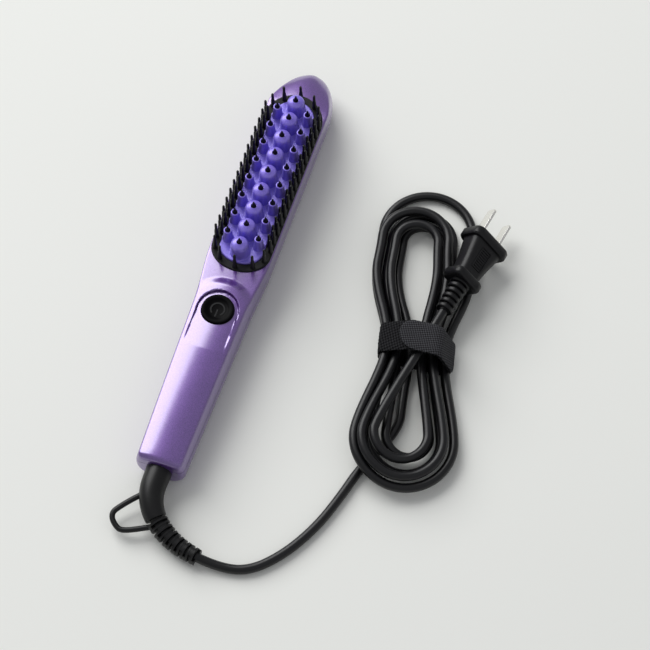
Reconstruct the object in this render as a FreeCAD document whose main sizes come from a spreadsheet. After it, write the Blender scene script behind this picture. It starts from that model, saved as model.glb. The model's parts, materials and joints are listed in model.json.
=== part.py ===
"""Hair straightening brush with its mains cord, as separate sub-parts (FreeCAD macro, millimetres).

Frame: X across the brush, Y along it towards the tip of the head, Z up from the surface it lies on.
The origin is under the middle of the brush, the cord left out.
"""
import FreeCAD
import Part
import Sketcher

import math
import os
from types import SimpleNamespace

from FreeCAD import Placement, Rotation, Vector

SIZES = {
    # casing
    "body_length": 250.0,
    "head_width": 34.6,
    "grip_width": 31.4,
    "end_width": 27.0,
    "grip_height": 25.0,
    "end_height": 22.0,
    "rest_trim": 0.4,
    "casing_wall": 2.0,
    "ceiling_height": 20.9,
    "crown_drop": 1.5,
    "ceiling_drop": 0.7,
    "shoulder_inset": 2.0,
    "rim_inset": 0.3,
    "end_round": 3.2,
    "head_from_end": 128.0,
    "nose_length": 27.0,
    "nose_height": 12.5,
    "parting_height": 14.5,
    "parting_groove": 0.4,
    "deck_height": 23.4,
    # grip
    "button_from_end": 91.0,
    "button_diameter": 17.4,
    "button_gap": 0.3,
    "button_flange": 1.2,
    "button_lift": 0.3,
    "button_dish": 0.8,
    "button_travel": 0.6,
    "stem_diameter": 4.4,
    "crease_radius": 19.0,
    "crease_run": 3.0,
    "recess_radius": 11.5,
    "recess_reach": 24.0,
    "recess_depth": 1.8,
    # bristle frame and heater plate
    "frame_length": 113.6,
    "frame_width": 32.8,
    "frame_from_tip": 20.7,
    "frame_near_depth": 13.0,
    "frame_far_depth": 17.5,
    "frame_thickness": 1.8,
    "frame_pocket": 1.0,
    "frame_border": 4.2,
    "frame_round": 0.6,
    "frame_fit": 0.15,
    "ledge_width": 2.6,
    "skirt_depth": 3.2,
    "hook_length": 6.0,
    "hook_reach": 1.0,
    "hook_height": 0.8,
    "hook_pitch": 28.0,
    "plate_gap": 0.25,
    "plate_rise": 1.0,
    "plate_round": 0.7,
    "plate_flange": 1.4,
    "flange_reach": 1.5,
    "pocket_width": 18.0,
    "pocket_length": 86.0,
    "pocket_roof": 3.0,
    "heater_width": 16.0,
    "heater_length": 80.0,
    "heater_thickness": 2.8,
    "pad_short": 6.0,
    "clamp_width": 10.0,
    "clamp_thickness": 1.2,
    "clamp_overlap": 7.0,
    "spacer_width": 4.0,
    "spacer_height": 4.0,
    "spacer_pitch": 59.0,
    "pillar_width": 5.0,
    "fuse_diameter": 3.6,
    "fuse_length": 10.0,
    "sensor_width": 3.0,
    "sensor_length": 5.0,
    "sensor_height": 2.0,
    # posts and bristles
    "post_pitch": 11.5,
    "centre_post_base": 10.2,
    "centre_post_height": 11.0,
    "side_post_base": 6.6,
    "side_post_height": 9.2,
    "side_post_offset": 8.6,
    "tip_diameter": 1.7,
    "tip_height": 3.8,
    "tip_seat": 0.8,
    "bristle_pitch": 5.75,
    "bristle_base": 2.1,
    "bristle_height": 12.6,
    "outer_row_offset": 15.15,
    "inner_row_offset": 13.35,
    "end_row_inset": 2.1,
    # electronics
    "board_length": 68.0,
    "board_width": 20.0,
    "board_thickness": 1.6,
    "board_top": 13.2,
    "board_from_end": 33.0,
    "boss_diameter": 4.8,
    "boss_offset": 7.8,
    "rear_boss_from_end": 46.0,
    "front_boss_from_end": 75.0,
    "switch_width": 6.0,
    "switch_height": 3.5,
    "plunger_diameter": 3.4,
    "plunger_length": 2.0,
    "plunger_depth": 0.5,
    "plunger_gap": 0.3,
    "lamp_diameter": 3.0,
    "lamp_height": 2.4,
    "lamp_offset": 6.2,
    "triac_width": 9.6,
    "triac_length": 15.5,
    "triac_height": 4.5,
    "triac_from_end": 49.0,
    "capacitor_width": 6.0,
    "capacitor_length": 13.0,
    "capacitor_height": 9.0,
    "line_fuse_diameter": 5.0,
    "line_fuse_length": 14.0,
    "line_fuse_offset": 4.6,
    "component_from_end": 66.0,
    "terminal_width": 12.0,
    "terminal_length": 9.0,
    "terminal_height": 8.0,
    "wire_diameter": 1.6,
    "sensor_wire": 0.9,
    "fit": 0.05,
    # screws
    "screw_diameter": 2.2,
    "screw_head": 4.2,
    "screw_head_height": 1.5,
    "board_screw_length": 6.0,
    "clamp_screw_length": 4.5,
    "cover_screw_length": 12.0,
    "cover_boss": 6.4,
    "cover_screw_seat": 4.0,
    "rear_screw_from_end": 21.5,
    "mid_screw_from_end": 110.5,
    "nose_screw_from_tip": 15.0,
    # swivel, boot and hang loop
    "cord_axis_height": 10.8,
    "boot_root": 14.0,
    "boot_gap": 0.3,
    "collar_diameter": 16.8,
    "collar_length": 2.8,
    "collar_gap": 0.4,
    "stub_diameter": 10.0,
    "stub_length": 11.2,
    "rib_thickness": 2.0,
    "ring_wall": 1.2,
    "ring_length": 2.4,
    "ring_first": 3.0,
    "ring_pitch": 4.5,
    "contact_gap": 0.1,
    "contact_width": 2.4,
    "contact_height": 1.8,
    "contact_reach": 6.4,
    "contact_lift": 0.85,
    "boot_straight": 7.0,
    "boot_end_x": 28.5,
    "boot_end_back": 35.6,
    "boot_end_height": 5.0,
    "boot_end_run": 4.0,
    "boot_middle": 11.4,
    "boot_tip": 9.2,
    "boot_slot": 1.3,
    "loop_rod": 3.0,
    # cord, hank and tie
    "cord_diameter": 5.0,
    "floor_gap": 0.1,
    "hank_x": 103.3,
    "hank_y": -15.2,
    "strand_gap": 1.1,
    "loop_gap": 0.6,
    "lower_gap": 2.0,
    "inner_loop": 11.4,
    "upper_loop_reach": 66.5,
    "lower_loop_reach": 53.0,
    "lower_loop_shift": 1.5,
    "hump_gap": 1.4,
    "tie_width": 17.0,
    "tie_thickness": 1.4,
    "tie_slack": 0.7,
    "tie_tab": 9.0,
    # plug
    "plug_x": 12.5,
    "plug_y": 18.5,
    "plug_z": 18.0,
    "relief_length": 20.0,
    "relief_cable_end": 8.4,
    "relief_body_end": 10.4,
    "relief_slot": 1.1,
    "collar_depth": 4.0,
    "plug_collar_width": 18.0,
    "plug_collar_height": 14.6,
    "plug_length": 50.0,
    "plug_waist_width": 15.4,
    "plug_waist_height": 12.4,
    "plug_flange_width": 25.0,
    "plug_flange_height": 17.0,
    "plug_flange_depth": 4.5,
    "plug_corner": 4.0,
    "blade_pitch": 12.7,
    "blade_width": 6.3,
    "blade_thickness": 1.5,
    "blade_length": 17.0,
    "blade_hole": 3.2,
}

TINY = 1e-6
QUARTER = math.pi / 2
UP = Vector(0, 0, 1)
ALONG = Vector(0, 1, 0)
ACROSS = Vector(1, 0, 0)

# Shares of a length, an angle or a count, for the forms that need more than one station
WAIST_SHARE = 0.45
FOOT_SHARE = 0.85
END_ROUND_SHARE = 0.3
END_TURN_SHARES = (0.0, 0.33, 0.66, 1.0)
GRIP_SHARES = (0.1, 0.25, 0.4, 0.55, 0.7, 0.85, 1.0)
NECK_SHARES = (0.2, 0.4, 0.6, 0.8)
HEAD_SHARES = (0.0, 0.15, 0.3, 0.45, 0.6, 0.75, 0.88, 1.0)
NOSE_TURN_SHARES = (0.17, 0.34, 0.5, 0.64, 0.77, 0.88, 0.95)
NOSE_EDGE_SHARE = 0.3
NOSE_DROP_SHARE = 0.45
POST_SHARES = ((1.0, 0.0), (0.97, 0.62), (0.92, 0.78), (0.74, 0.9), (0.34, 1.0))
SIDE_POST_SHARES = ((1.0, 0.0), (0.78, 0.93), (0.66, 1.0))
TIP_SHARES = ((1.0, 0.0), (0.96, 0.35), (0.25, 1.0))
BRISTLE_SHARES = ((1.0, 0.0), (0.95, 0.48), (0.72, 0.55), (0.66, 0.96), (0.45, 1.0))
BUTTON_RING_SHARES = (0.72, 0.8, 0.93)
NEAR_TURNS = (-74, -40, 0, 40, 74)
FAR_TURNS = (-66, -37, 0, 37, 66)
CENTRE_POSTS = 9
SIDE_POSTS = 8
OUTER_BRISTLES = 15
INNER_BRISTLES = 14
BOOT_HEADING = -13
BOOT_ROOT_STEPS = 9
BOOT_RIBS = 8
BOOT_RIB_SHARE = 0.52
RIB_CREST_SHARES = (0.0, 0.55, 0.62, 0.93)
RELIEF_RIBS = 6
LOOP_SHARES = ((-0.9, -137.6, 9.0), (-11.4, -147.6, 7.4), (-15.0, -155.4, 5.6),
               (-9.6, -159.4, 5.0), (11.0, -151.4, 6.2))
LEAD_SHARES = ((44.5, -162.6), (60.5, -159.6), (74.5, -145.2), (85.2, -126.0), (91.8, -105.8))
LEAD_LOCAL_SHARES = ((-22.0, -68.5), (-4.3, -45.0), (-4.3, -28.0))
HANK_TURN = 12.3
UPPER_LEAN_SHARE = 0.36
HUMP_TURN = 22
TAIL_TURN = -16
PLUG_HEADING = 22.5
PLUG_PITCH = -3.8
PLUG_ROLL = 41
TIE_SLANT = -8
RUN_SHARE = 0.45

doc = FreeCAD.newDocument("StraighteningBrush")
sheet = doc.addObject("Spreadsheet::Sheet", "Sizes")
mm = SimpleNamespace(**SIZES)


class Size:
    """A length together with the spreadsheet formula that gives it."""

    def __init__(self, value, text):
        self.value = value
        self.text = text

    @staticmethod
    def of(term):
        return term if isinstance(term, Size) else Size(float(term), f"({float(term)})")

    def __add__(self, other):
        other = Size.of(other)
        return Size(self.value + other.value, f"({self.text} + {other.text})")

    def __sub__(self, other):
        other = Size.of(other)
        return Size(self.value - other.value, f"({self.text} - {other.text})")

    def __mul__(self, other):
        other = Size.of(other)
        return Size(self.value * other.value, f"({self.text} * {other.text})")

    def __truediv__(self, other):
        other = Size.of(other)
        return Size(self.value / other.value, f"({self.text} / {other.text})")

    def __rsub__(self, other):
        return Size.of(other) - self

    def __neg__(self):
        return Size(-self.value, f"(-{self.text})")

    def __float__(self):
        return self.value

    __radd__ = __add__
    __rmul__ = __mul__


size = SimpleNamespace(**{name: Size(value, f"Sizes.{name}") for name, value in SIZES.items()})


def fill_sheet():
    """Write every size to the sheet under its own alias."""
    for row, (name, value) in enumerate(SIZES.items(), start=1):
        sheet.set(f"A{row}", name)
        sheet.set(f"B{row}", str(value))
        sheet.setAlias(f"B{row}", name)
    doc.recompute()


# Document objects bound to the sheet
def bind(obj, terms):
    """Tie properties of an object to formulas of the sheet."""
    for path, term in terms.items():
        obj.setExpression(path, Size.of(term).text)
    return obj


def place(obj, x=0, y=0, z=0):
    """Tie an object's position to formulas of the sheet."""
    obj.Placement.Base = Vector(float(x), float(y), float(z))
    terms = {"Placement.Base.x": x, "Placement.Base.y": y, "Placement.Base.z": z}
    return bind(obj, terms)


def box(label, sides, corner):
    """Box from its three sides and its lowest corner."""
    obj = doc.addObject("Part::Box", label)
    bind(obj, dict(zip(("Length", "Width", "Height"), sides)))
    return place(obj, *corner)


def mid_box(label, sides, foot):
    """Box from its sides and the middle of its bottom face."""
    x, y, z = foot
    return box(label, sides, (x - sides[0] / 2, y - sides[1] / 2, z))


def rod(label, diameter, length, foot, axis=UP):
    """Cylinder from the middle of its first face, along an axis."""
    obj = doc.addObject("Part::Cylinder", label)
    obj.Placement.Rotation = Rotation(UP, axis)
    bind(obj, {"Radius": Size.of(diameter) / 2, "Height": length})
    return place(obj, *foot)


def cone(label, low_diameter, high_diameter, height, foot):
    """Upright cone from the middle of its lower face."""
    obj = doc.addObject("Part::Cone", label)
    bind(obj, {"Radius1": low_diameter / 2, "Radius2": high_diameter / 2, "Height": height})
    return place(obj, *foot)


def form(label, shape):
    """Document object that holds a shape made from the sheet's values."""
    obj = doc.addObject("Part::Feature", label)
    obj.Shape = shape
    return obj


def cut(label, base, tool):
    """One object less another."""
    obj = doc.addObject("Part::Cut", label)
    obj.Base = base
    obj.Tool = tool
    return obj


def fuse(label, *parts):
    """Several objects joined in one."""
    obj = doc.addObject("Part::MultiFuse", label)
    obj.Shapes = list(parts)
    return obj


def common(label, *parts):
    """What several objects share."""
    obj = doc.addObject("Part::MultiCommon", label)
    obj.Shapes = list(parts)
    return obj


def group(label, source, places):
    """Copies of one object's shape, moved to each place, as one node."""
    doc.recompute()
    return form(label, Part.makeCompound([source.Shape.translated(spot) for spot in places]))


def pin(sketch, kind, axis, start, term):
    """Hold one coordinate of a sketch point with a formula."""
    term = Size.of(term)
    if abs(term.value) < TINY:
        sketch.addConstraint(Sketcher.Constraint("PointOnObject", *start, axis))
        return
    ends = (-1, 1, *start) if term.value > 0 else (*start, -1, 1)
    reach = term if term.value > 0 else -term
    row = sketch.addConstraint(Sketcher.Constraint(kind, *ends, reach.value))
    sketch.setExpression(f"Constraints[{row}]", reach.text)


def pin_point(sketch, start, corner):
    """Hold both coordinates of a sketch point."""
    pin(sketch, "DistanceX", -2, start, corner[0])
    pin(sketch, "DistanceY", -1, start, corner[1])


def sketched(body, role, corners, holes=()):
    """Sketch on a plane of a body: a closed outline, and round holes (x, y, diameter)."""
    sketch = body.newObject("Sketcher::SketchObject", f"{body.Name}Outline")
    plane = next(item for item in body.Origin.OriginFeatures if item.Role == role)
    sketch.AttachmentSupport = [(plane, "")]
    sketch.MapMode = "FlatFace"
    spots = [Vector(float(a), float(b), 0) for a, b in corners]
    for start, end in zip(spots, spots[1:] + spots[:1]):
        sketch.addGeometry(Part.LineSegment(start, end))
    for index in range(len(spots)):
        follower = (index + 1) % len(spots)
        sketch.addConstraint(Sketcher.Constraint("Coincident", index, 2, follower, 1))
    for index, corner in enumerate(corners):
        pin_point(sketch, (index, 1), corner)
    for x, y, diameter in holes:
        circle = Part.Circle(Vector(float(x), float(y), 0), UP, float(diameter) / 2)
        index = sketch.addGeometry(circle)
        row = sketch.addConstraint(Sketcher.Constraint("Radius", index, float(diameter) / 2))
        sketch.setExpression(f"Constraints[{row}]", (Size.of(diameter) / 2).text)
        pin_point(sketch, (index, 3), (x, y))
    return sketch


def padded(label, role, corners, depth, spot, holes=()):
    """Body padded from an outline on one of its planes, moved to a spot."""
    body = doc.addObject("PartDesign::Body", label)
    pad = body.newObject("PartDesign::Pad", f"{label}Pad")
    pad.Profile = sketched(body, role, corners, holes)
    bind(pad, {"Length": depth})
    return place(body, *spot)


def turned(label, corners, spot=(0, 0, 0)):
    """Body turned about its upright axis from (radius, height) corners."""
    body = doc.addObject("PartDesign::Body", label)
    sketch = sketched(body, "XZ_Plane", corners)
    turn = body.newObject("PartDesign::Revolution", f"{label}Turn")
    turn.Profile = sketch
    turn.ReferenceAxis = (sketch, ["V_Axis"])
    turn.Angle = 360
    return place(body, *spot)


def stepped_pin(label, diameter, height, shares):
    """Turned pin whose radius follows (share of radius, share of height) pairs."""
    corners = [(0, 0)]
    corners += [(diameter / 2 * wide, height * tall) for wide, tall in shares]
    corners.append((0, height))
    return turned(label, corners)


def screw_form(label, length):
    """Pan-head screw that points up, its head's upper face at height zero."""
    head = size.screw_head / 2
    shank = size.screw_diameter / 2
    corners = [(0, -size.screw_head_height), (head, -size.screw_head_height), (head, 0)]
    corners += [(shank, 0), (shank, length), (0, length)]
    return turned(label, corners)


# Places along the brush
def from_end(reach):
    """Place along the brush, measured from the handle's end."""
    return reach - size.body_length / 2


def from_tip(reach):
    """Place along the brush, measured back from the head's tip."""
    return size.body_length / 2 - reach


def mix(first, second, share):
    """Value between two others."""
    return first + (second - first) * share


def frame_middle():
    """Place along the brush of the bristle frame's middle."""
    return from_tip(size.frame_from_tip + size.frame_length / 2)


def frame_top():
    """Height of the bristle frame's upper face."""
    return size.deck_height - size.frame_pocket + size.frame_thickness


def plate_top():
    """Height of the heater plate's upper face."""
    return frame_top() + size.plate_rise


def plate_foot():
    """Height of the heater plate's lower face."""
    return size.deck_height - size.frame_pocket - size.skirt_depth - size.plate_flange


# Casing
def bow(half, waist, end_half, end_height):
    """Middle of the arc that leaves the widest place upright and ends at a given point."""
    run = max(half - end_half, TINY)
    rise = end_height - waist
    radius = (run * run + rise * rise) / (2 * run)
    turn = math.atan2(abs(rise), radius - run) / 2
    middle_half = half - radius + radius * math.cos(turn)
    return middle_half, waist + math.copysign(radius * math.sin(turn), rise)


def cross_section(y, half, low, high, edge_half, drop):
    """Closed outline of the casing across the brush at one place along it."""
    waist = mix(low, high, WAIST_SHARE)
    foot = half - (waist - low) * FOOT_SHARE
    under = bow(half, waist, foot, low)
    over = bow(half, waist, edge_half, high - drop)
    right = [(foot, low), under, (half, waist), over, (edge_half, high - drop)]
    ahead = [Vector(x, y, z) for x, z in right]
    back = [Vector(-x, y, z) for x, z in reversed(right)]
    edges = [
        Part.LineSegment(back[-1], ahead[0]),
        Part.Arc(*ahead[0:3]),
        Part.Arc(*ahead[2:5]),
        Part.Arc(ahead[-1], Vector(0, y, high), back[0]),
        Part.Arc(*back[0:3]),
        Part.Arc(*back[2:5]),
    ]
    return Part.Wire([edge.toShape() for edge in edges])


def crown(inset):
    """Drop of a form's top from its middle to its shoulders; the ceiling inside is flatter."""
    return mm.crown_drop if inset < mm.casing_wall / 2 else mm.ceiling_drop


def eased(share):
    """Share that starts and stops gently."""
    return share * share * (3 - 2 * share)


def grip_stations(inset, top):
    """Sections of the handle, from its rounded end to the button."""
    end_y = inset - mm.body_length / 2
    bend = max(mm.end_round - inset, END_ROUND_SHARE * mm.end_round)
    low = inset - mm.rest_trim
    for share in END_TURN_SHARES:
        trim = bend * (1 - math.sin(share * QUARTER))
        half = mm.end_width / 2 - inset - trim
        y = end_y + bend * (1 - math.cos(share * QUARTER))
        yield y, half, low + trim, top(mm.end_height) - trim, half - mm.shoulder_inset, crown(inset)
    button_y = float(from_end(mm.button_from_end))
    for share in GRIP_SHARES:
        half = mix(mm.end_width, mm.grip_width, share) / 2 - inset
        high = top(mix(mm.end_height, mm.grip_height, share * (2 - share)))
        y = mix(end_y + bend, button_y, share)
        yield y, half, low, high, half - mm.shoulder_inset, crown(inset)


def head_stations(inset, top):
    """Sections of the neck and the head, from the button to the tip of the nose."""
    button_y = float(from_end(mm.button_from_end))
    head_y = float(from_end(mm.head_from_end))
    nose_y = float(from_tip(mm.nose_length))
    low = inset - mm.rest_trim
    high = top(mm.grip_height)
    half = mm.head_width / 2 - inset
    taper = (mm.grip_width - mm.end_width) / 2 / mm.button_from_end * (head_y - button_y)
    for share in NECK_SHARES:
        wide = mix(mm.grip_width / 2 - inset, half, eased(share)) + taper * share * (1 - share) ** 2
        edge = wide - mix(mm.shoulder_inset, mm.rim_inset, eased(share))
        yield mix(button_y, head_y, share), wide, low, high, edge, crown(inset)
    for share in HEAD_SHARES:
        yield mix(head_y, nose_y, share), half, low, high, half - mm.rim_inset, crown(inset)
    rim_share = mm.rim_inset / half
    for share in NOSE_TURN_SHARES:
        lean = math.sin(share * QUARTER)
        rise = math.cos(share * QUARTER)
        wide = half * rise
        top_z = mix(mm.nose_height, high, rise)
        drop = crown(inset) * rise + (top_z - mm.nose_height) * NOSE_DROP_SHARE * lean
        edge = wide * (1 - rim_share - NOSE_EDGE_SHARE * lean)
        y = nose_y + (mm.nose_length - inset) * lean
        yield y, wide, mix(mm.nose_height, low, rise), top_z, edge, drop


def casing_form(inset, ceiling):
    """Loft of the casing's form, drawn in by an inset and kept below a ceiling."""
    def top(height):
        return min(height - inset, ceiling)
    stations = list(grip_stations(inset, top)) + list(head_stations(inset, top))
    return Part.makeLoft([cross_section(*station) for station in stations], True)


def half_oval(middle, half, depth, height, side):
    """Half of an oval across the brush, towards one end of it."""
    centre = Vector(0, middle, height)
    apex = centre + ALONG * (depth * side)
    flank = centre + ACROSS * half
    if depth >= half:
        return Part.Ellipse(apex, flank, centre).toShape(-QUARTER, QUARTER)
    return Part.Ellipse(flank, apex, centre).toShape(0, math.pi)


def oval_prism(inset, low, high):
    """Prism over the bristle frame's outline, drawn in by an inset."""
    half = mm.frame_width / 2 - inset
    far = float(from_tip(mm.frame_from_tip + mm.frame_far_depth))
    near = float(from_tip(mm.frame_from_tip + mm.frame_length - mm.frame_near_depth))
    edges = [half_oval(far, half, mm.frame_far_depth - inset, low, 1)]
    edges.append(half_oval(near, half, mm.frame_near_depth - inset, low, -1))
    for side in (-1, 1):
        start = Vector(side * half, near, low)
        edges.append(Part.LineSegment(start, Vector(side * half, far, low)).toShape())
    outline = Part.Wire(Part.__sortEdges__(edges))
    return Part.Face(outline).extrude(UP * (high - low))


def rounded_top(shape, radius):
    """The shape with the edges of its upper face rounded."""
    top = shape.BoundBox.ZMax
    rim = [edge for edge in shape.Edges if abs(edge.BoundBox.ZMin - top) < TINY]
    return shape.makeFillet(radius, rim)


def deck_tool():
    """What is taken off above the head's deck, up to the crease round the button."""
    slab_sides = (size.head_width * 2, size.body_length, size.grip_height)
    corner = (-size.head_width, from_end(size.button_from_end), size.deck_height)
    slab = box("DeckSlab", slab_sides, corner)
    foot = (0, from_end(size.button_from_end), size.deck_height)
    wide = size.crease_radius * 2
    crease = cone("Crease", wide, wide - size.crease_run * 2, size.crease_run, foot)
    return cut("DeckTool", slab, crease)


def recess_tool():
    """The thumb recess round the button, its crowned floor rising towards the handle's end."""
    button_y = from_end(size.button_from_end)
    wide = size.recess_radius * 2
    bowl = rod("RecessBowl", wide, size.grip_height * 2, (0, button_y, 0))
    sides = (wide, size.recess_reach, size.grip_height * 2)
    trough = box("RecessTrough", sides, (-size.recess_radius, button_y - size.recess_reach, 0))
    plan = fuse("RecessPlan", bowl, trough)
    edge = size.grip_width / 2 - size.shoulder_inset
    radius = (edge * edge + size.crown_drop * size.crown_drop) / (size.crown_drop * 2)
    share = 1 - size.recess_reach / size.button_from_end
    tail_top = mix(size.end_height, size.grip_height, share * (2 - share))
    run = size.recess_reach + size.recess_radius
    fall = size.grip_height - size.recess_depth - tail_top
    foot = (0, button_y - size.recess_reach - run, tail_top - fall - radius)
    floor = rod("RecessFloor", radius * 2, run * 3, foot, Vector(0, float(run), float(fall)))
    return cut("RecessTool", plan, floor)


def swivel_tools():
    """Round openings for the boot's root and stub through the end wall and the rib."""
    end = from_end(0)
    height = size.cord_axis_height
    mouth = rod("BootMouth", size.boot_root + size.boot_gap * 2, size.casing_wall * 2,
                (0, end - size.casing_wall, height), ALONG)
    bore = rod("StubBore", size.stub_diameter + size.boot_gap * 2, size.stub_length,
               (0, end + size.casing_wall + size.collar_gap, height), ALONG)
    return fuse("SwivelTools", mouth, bore)


def swivel_rib(label, middle_form):
    """Cross wall that holds the boot's collar behind the end wall."""
    reach = size.casing_wall + size.collar_gap * 2 + size.collar_length
    slab = box(label + "Slab", (size.end_width * 2, size.rib_thickness, size.grip_height * 2),
               (-size.end_width, from_end(reach), -size.grip_height / 2))
    return common(label, slab, middle_form)


def half_space(label, low, high):
    """Slab between two heights that is larger than the whole brush."""
    sides = (size.head_width * 2, size.body_length * 2, high - low)
    return box(label, sides, (-size.head_width, -size.body_length, low))


def cover_screw_places():
    """Places along the brush of the three cover screws."""
    return (from_end(size.rear_screw_from_end), from_end(size.mid_screw_from_end),
            from_tip(size.nose_screw_from_tip))


def board_boss_spots():
    """Where the control board is screwed to the top cover."""
    for reach in (size.rear_boss_from_end, size.front_boss_from_end):
        for side in (-1, 1):
            yield size.boss_offset * side, from_end(reach)


def casing_forms():
    """The casing's outer, groove, middle and inner forms."""
    wall = mm.casing_wall
    rows = {"OuterForm": (0.0, mm.grip_height), "InnerForm": (wall, mm.ceiling_height),
            "MiddleForm": (wall / 2, mm.ceiling_height + wall / 4)}
    rows["GrooveForm"] = (mm.parting_groove, mm.grip_height)
    return {name: form(name, casing_form(*row)) for name, row in rows.items()}


def parting_groove(forms):
    """Shallow line round the casing where the two covers meet."""
    half = size.parting_groove / 2
    slab = half_space("GrooveSlab", size.parting_height - half, size.parting_height + half)
    return common("PartingGroove", cut("GrooveRing", forms["OuterForm"], forms["GrooveForm"]), slab)


def top_cover(forms, shell, groove, swivel):
    """Upper shell with its deck, thumb recess, bosses and openings."""
    room = half_space("UpperRoom", size.parting_height, size.grip_height * 2)
    parts = [shell, swivel_rib("UpperRib", forms["MiddleForm"])]
    root = size.ceiling_height + size.casing_wall / 4
    for index, (x, y) in enumerate(board_boss_spots()):
        parts.append(rod(f"BoardBoss{index}", size.boss_diameter, root - size.board_top,
                         (x, y, size.board_top)))
    for index, y in enumerate(cover_screw_places()):
        parts.append(rod(f"UpperBoss{index}", size.cover_boss, root - size.parting_height,
                         (0, y, size.parting_height)))
    tools = [deck_tool(), recess_tool(), groove, swivel]
    pocket = oval_prism(-mm.frame_fit, mm.deck_height - mm.frame_pocket, mm.grip_height * 2)
    tools.append(form("FramePocket", pocket))
    opening = oval_prism(mm.ledge_width, mm.parting_height, mm.grip_height * 2)
    tools.append(form("DeckOpening", opening))
    tools.append(rod("ButtonHole", size.button_diameter + size.button_gap * 2, size.grip_height,
                     (0, from_end(size.button_from_end), size.parting_height)))
    pilot = size.screw_diameter + size.fit * 2
    for index, (x, y) in enumerate(board_boss_spots()):
        tools.append(rod(f"BoardPilot{index}", pilot, size.board_screw_length, (x, y, size.board_top)))
    for index, y in enumerate(cover_screw_places()):
        tools.append(rod(f"CoverPilot{index}", pilot, size.cover_screw_length,
                         (0, y, size.cover_screw_seat + size.fit)))
    body = common("UpperBody", fuse("UpperSolid", *parts), room)
    return cut("top_cover", body, fuse("UpperTools", *tools))


def pillar_spots():
    """Where the hot plate's spacers stand."""
    half = size.frame_width / 2 - size.frame_border - size.plate_gap + size.flange_reach
    x = half - size.spacer_width / 2
    for side in (-1, 1):
        for end in (-1, 1):
            yield x * side, frame_middle() + size.spacer_pitch / 2 * end


def back_cover(forms, shell, groove, swivel):
    """Lower shell with its flat rest, screw bosses, pillars and openings."""
    room = half_space("LowerRoom", size.rest_trim * 0, size.parting_height)
    parts = [shell, swivel_rib("LowerRib", forms["MiddleForm"])]
    root = size.casing_wall / 2
    for index, y in enumerate(cover_screw_places()):
        parts.append(rod(f"LowerBoss{index}", size.cover_boss, size.parting_height - root, (0, y, root)))
    top = plate_foot() - size.spacer_height
    for index, (x, y) in enumerate(pillar_spots()):
        sides = (size.pillar_width, size.pillar_width, top - root)
        parts.append(mid_box(f"Pillar{index}", sides, (x, y, root)))
    tools = [groove, swivel]
    for index, y in enumerate(cover_screw_places()):
        tools.append(rod(f"ScrewWell{index}", size.screw_head + size.button_gap * 2,
                         size.cover_screw_seat + size.grip_height, (0, y, -size.grip_height)))
        tools.append(rod(f"ScrewHole{index}", size.screw_diameter + size.fit * 2,
                         size.cover_screw_length, (0, y, size.cover_screw_seat - size.fit)))
    inside = common("LowerBosses", fuse("LowerParts", *parts[2:]), forms["OuterForm"])
    solid = fuse("LowerSolid", *parts[:2], inside)
    return cut("back_cover", common("LowerBody", solid, room), fuse("LowerTools", *tools))


# Head
def bristle_frame():
    """Oval ring with a skirt that goes through the deck, and its snap hooks."""
    seat = mm.deck_height - mm.frame_pocket
    low = seat - mm.skirt_depth
    flange = rounded_top(oval_prism(0, seat, float(frame_top())), mm.frame_round)
    skirt = form("FrameSkirt", oval_prism(mm.ledge_width + mm.frame_fit, low, seat))
    window = form("FrameWindow", oval_prism(mm.frame_border, low - mm.skirt_depth, mm.grip_height * 2))
    parts = [form("FrameFlange", flange), skirt]
    x = size.frame_width / 2 - size.ledge_width - size.frame_fit
    base = size.deck_height - size.frame_pocket - size.skirt_depth
    for side in (-1, 1):
        for step in (-1, 0, 1):
            sides = (size.hook_reach * 2, size.hook_length, size.hook_height)
            foot = (x * side, frame_middle() + size.hook_pitch * step, base)
            parts.append(mid_box(f"Hook{side + 1}{step + 1}", sides, foot))
    return cut("bristle_frame", fuse("FrameSolid", *parts), window)


def heater_plate():
    """Metal slab with a flange held under the frame's skirt and a pocket for the heater."""
    foot = float(plate_foot())
    inset = mm.frame_border + mm.plate_gap
    slab = rounded_top(oval_prism(inset, foot, float(plate_top())), mm.plate_round)
    flange = oval_prism(inset - mm.flange_reach, foot, foot + mm.plate_flange)
    solid = fuse("PlateSolid", form("PlateSlab", slab), form("PlateFlange", flange))
    depth = plate_top() - size.pocket_roof - plate_foot()
    pocket = mid_box("PlatePocket", (size.pocket_width, size.pocket_length, depth),
                     (0, frame_middle(), plate_foot()))
    tools = [pocket]
    for index, y in enumerate(clamp_screw_places()):
        tools.append(rod(f"PlateHole{index}", size.screw_diameter + size.fit * 2,
                         size.clamp_screw_length, (0, y, plate_foot())))
    return cut("heater_plate", solid, fuse("PlateTools", *tools))


def clamp_screw_places():
    """Places along the brush of the two clamp screws."""
    reach = size.pocket_length / 2 + size.clamp_overlap / 2
    return frame_middle() - reach, frame_middle() + reach


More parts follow.
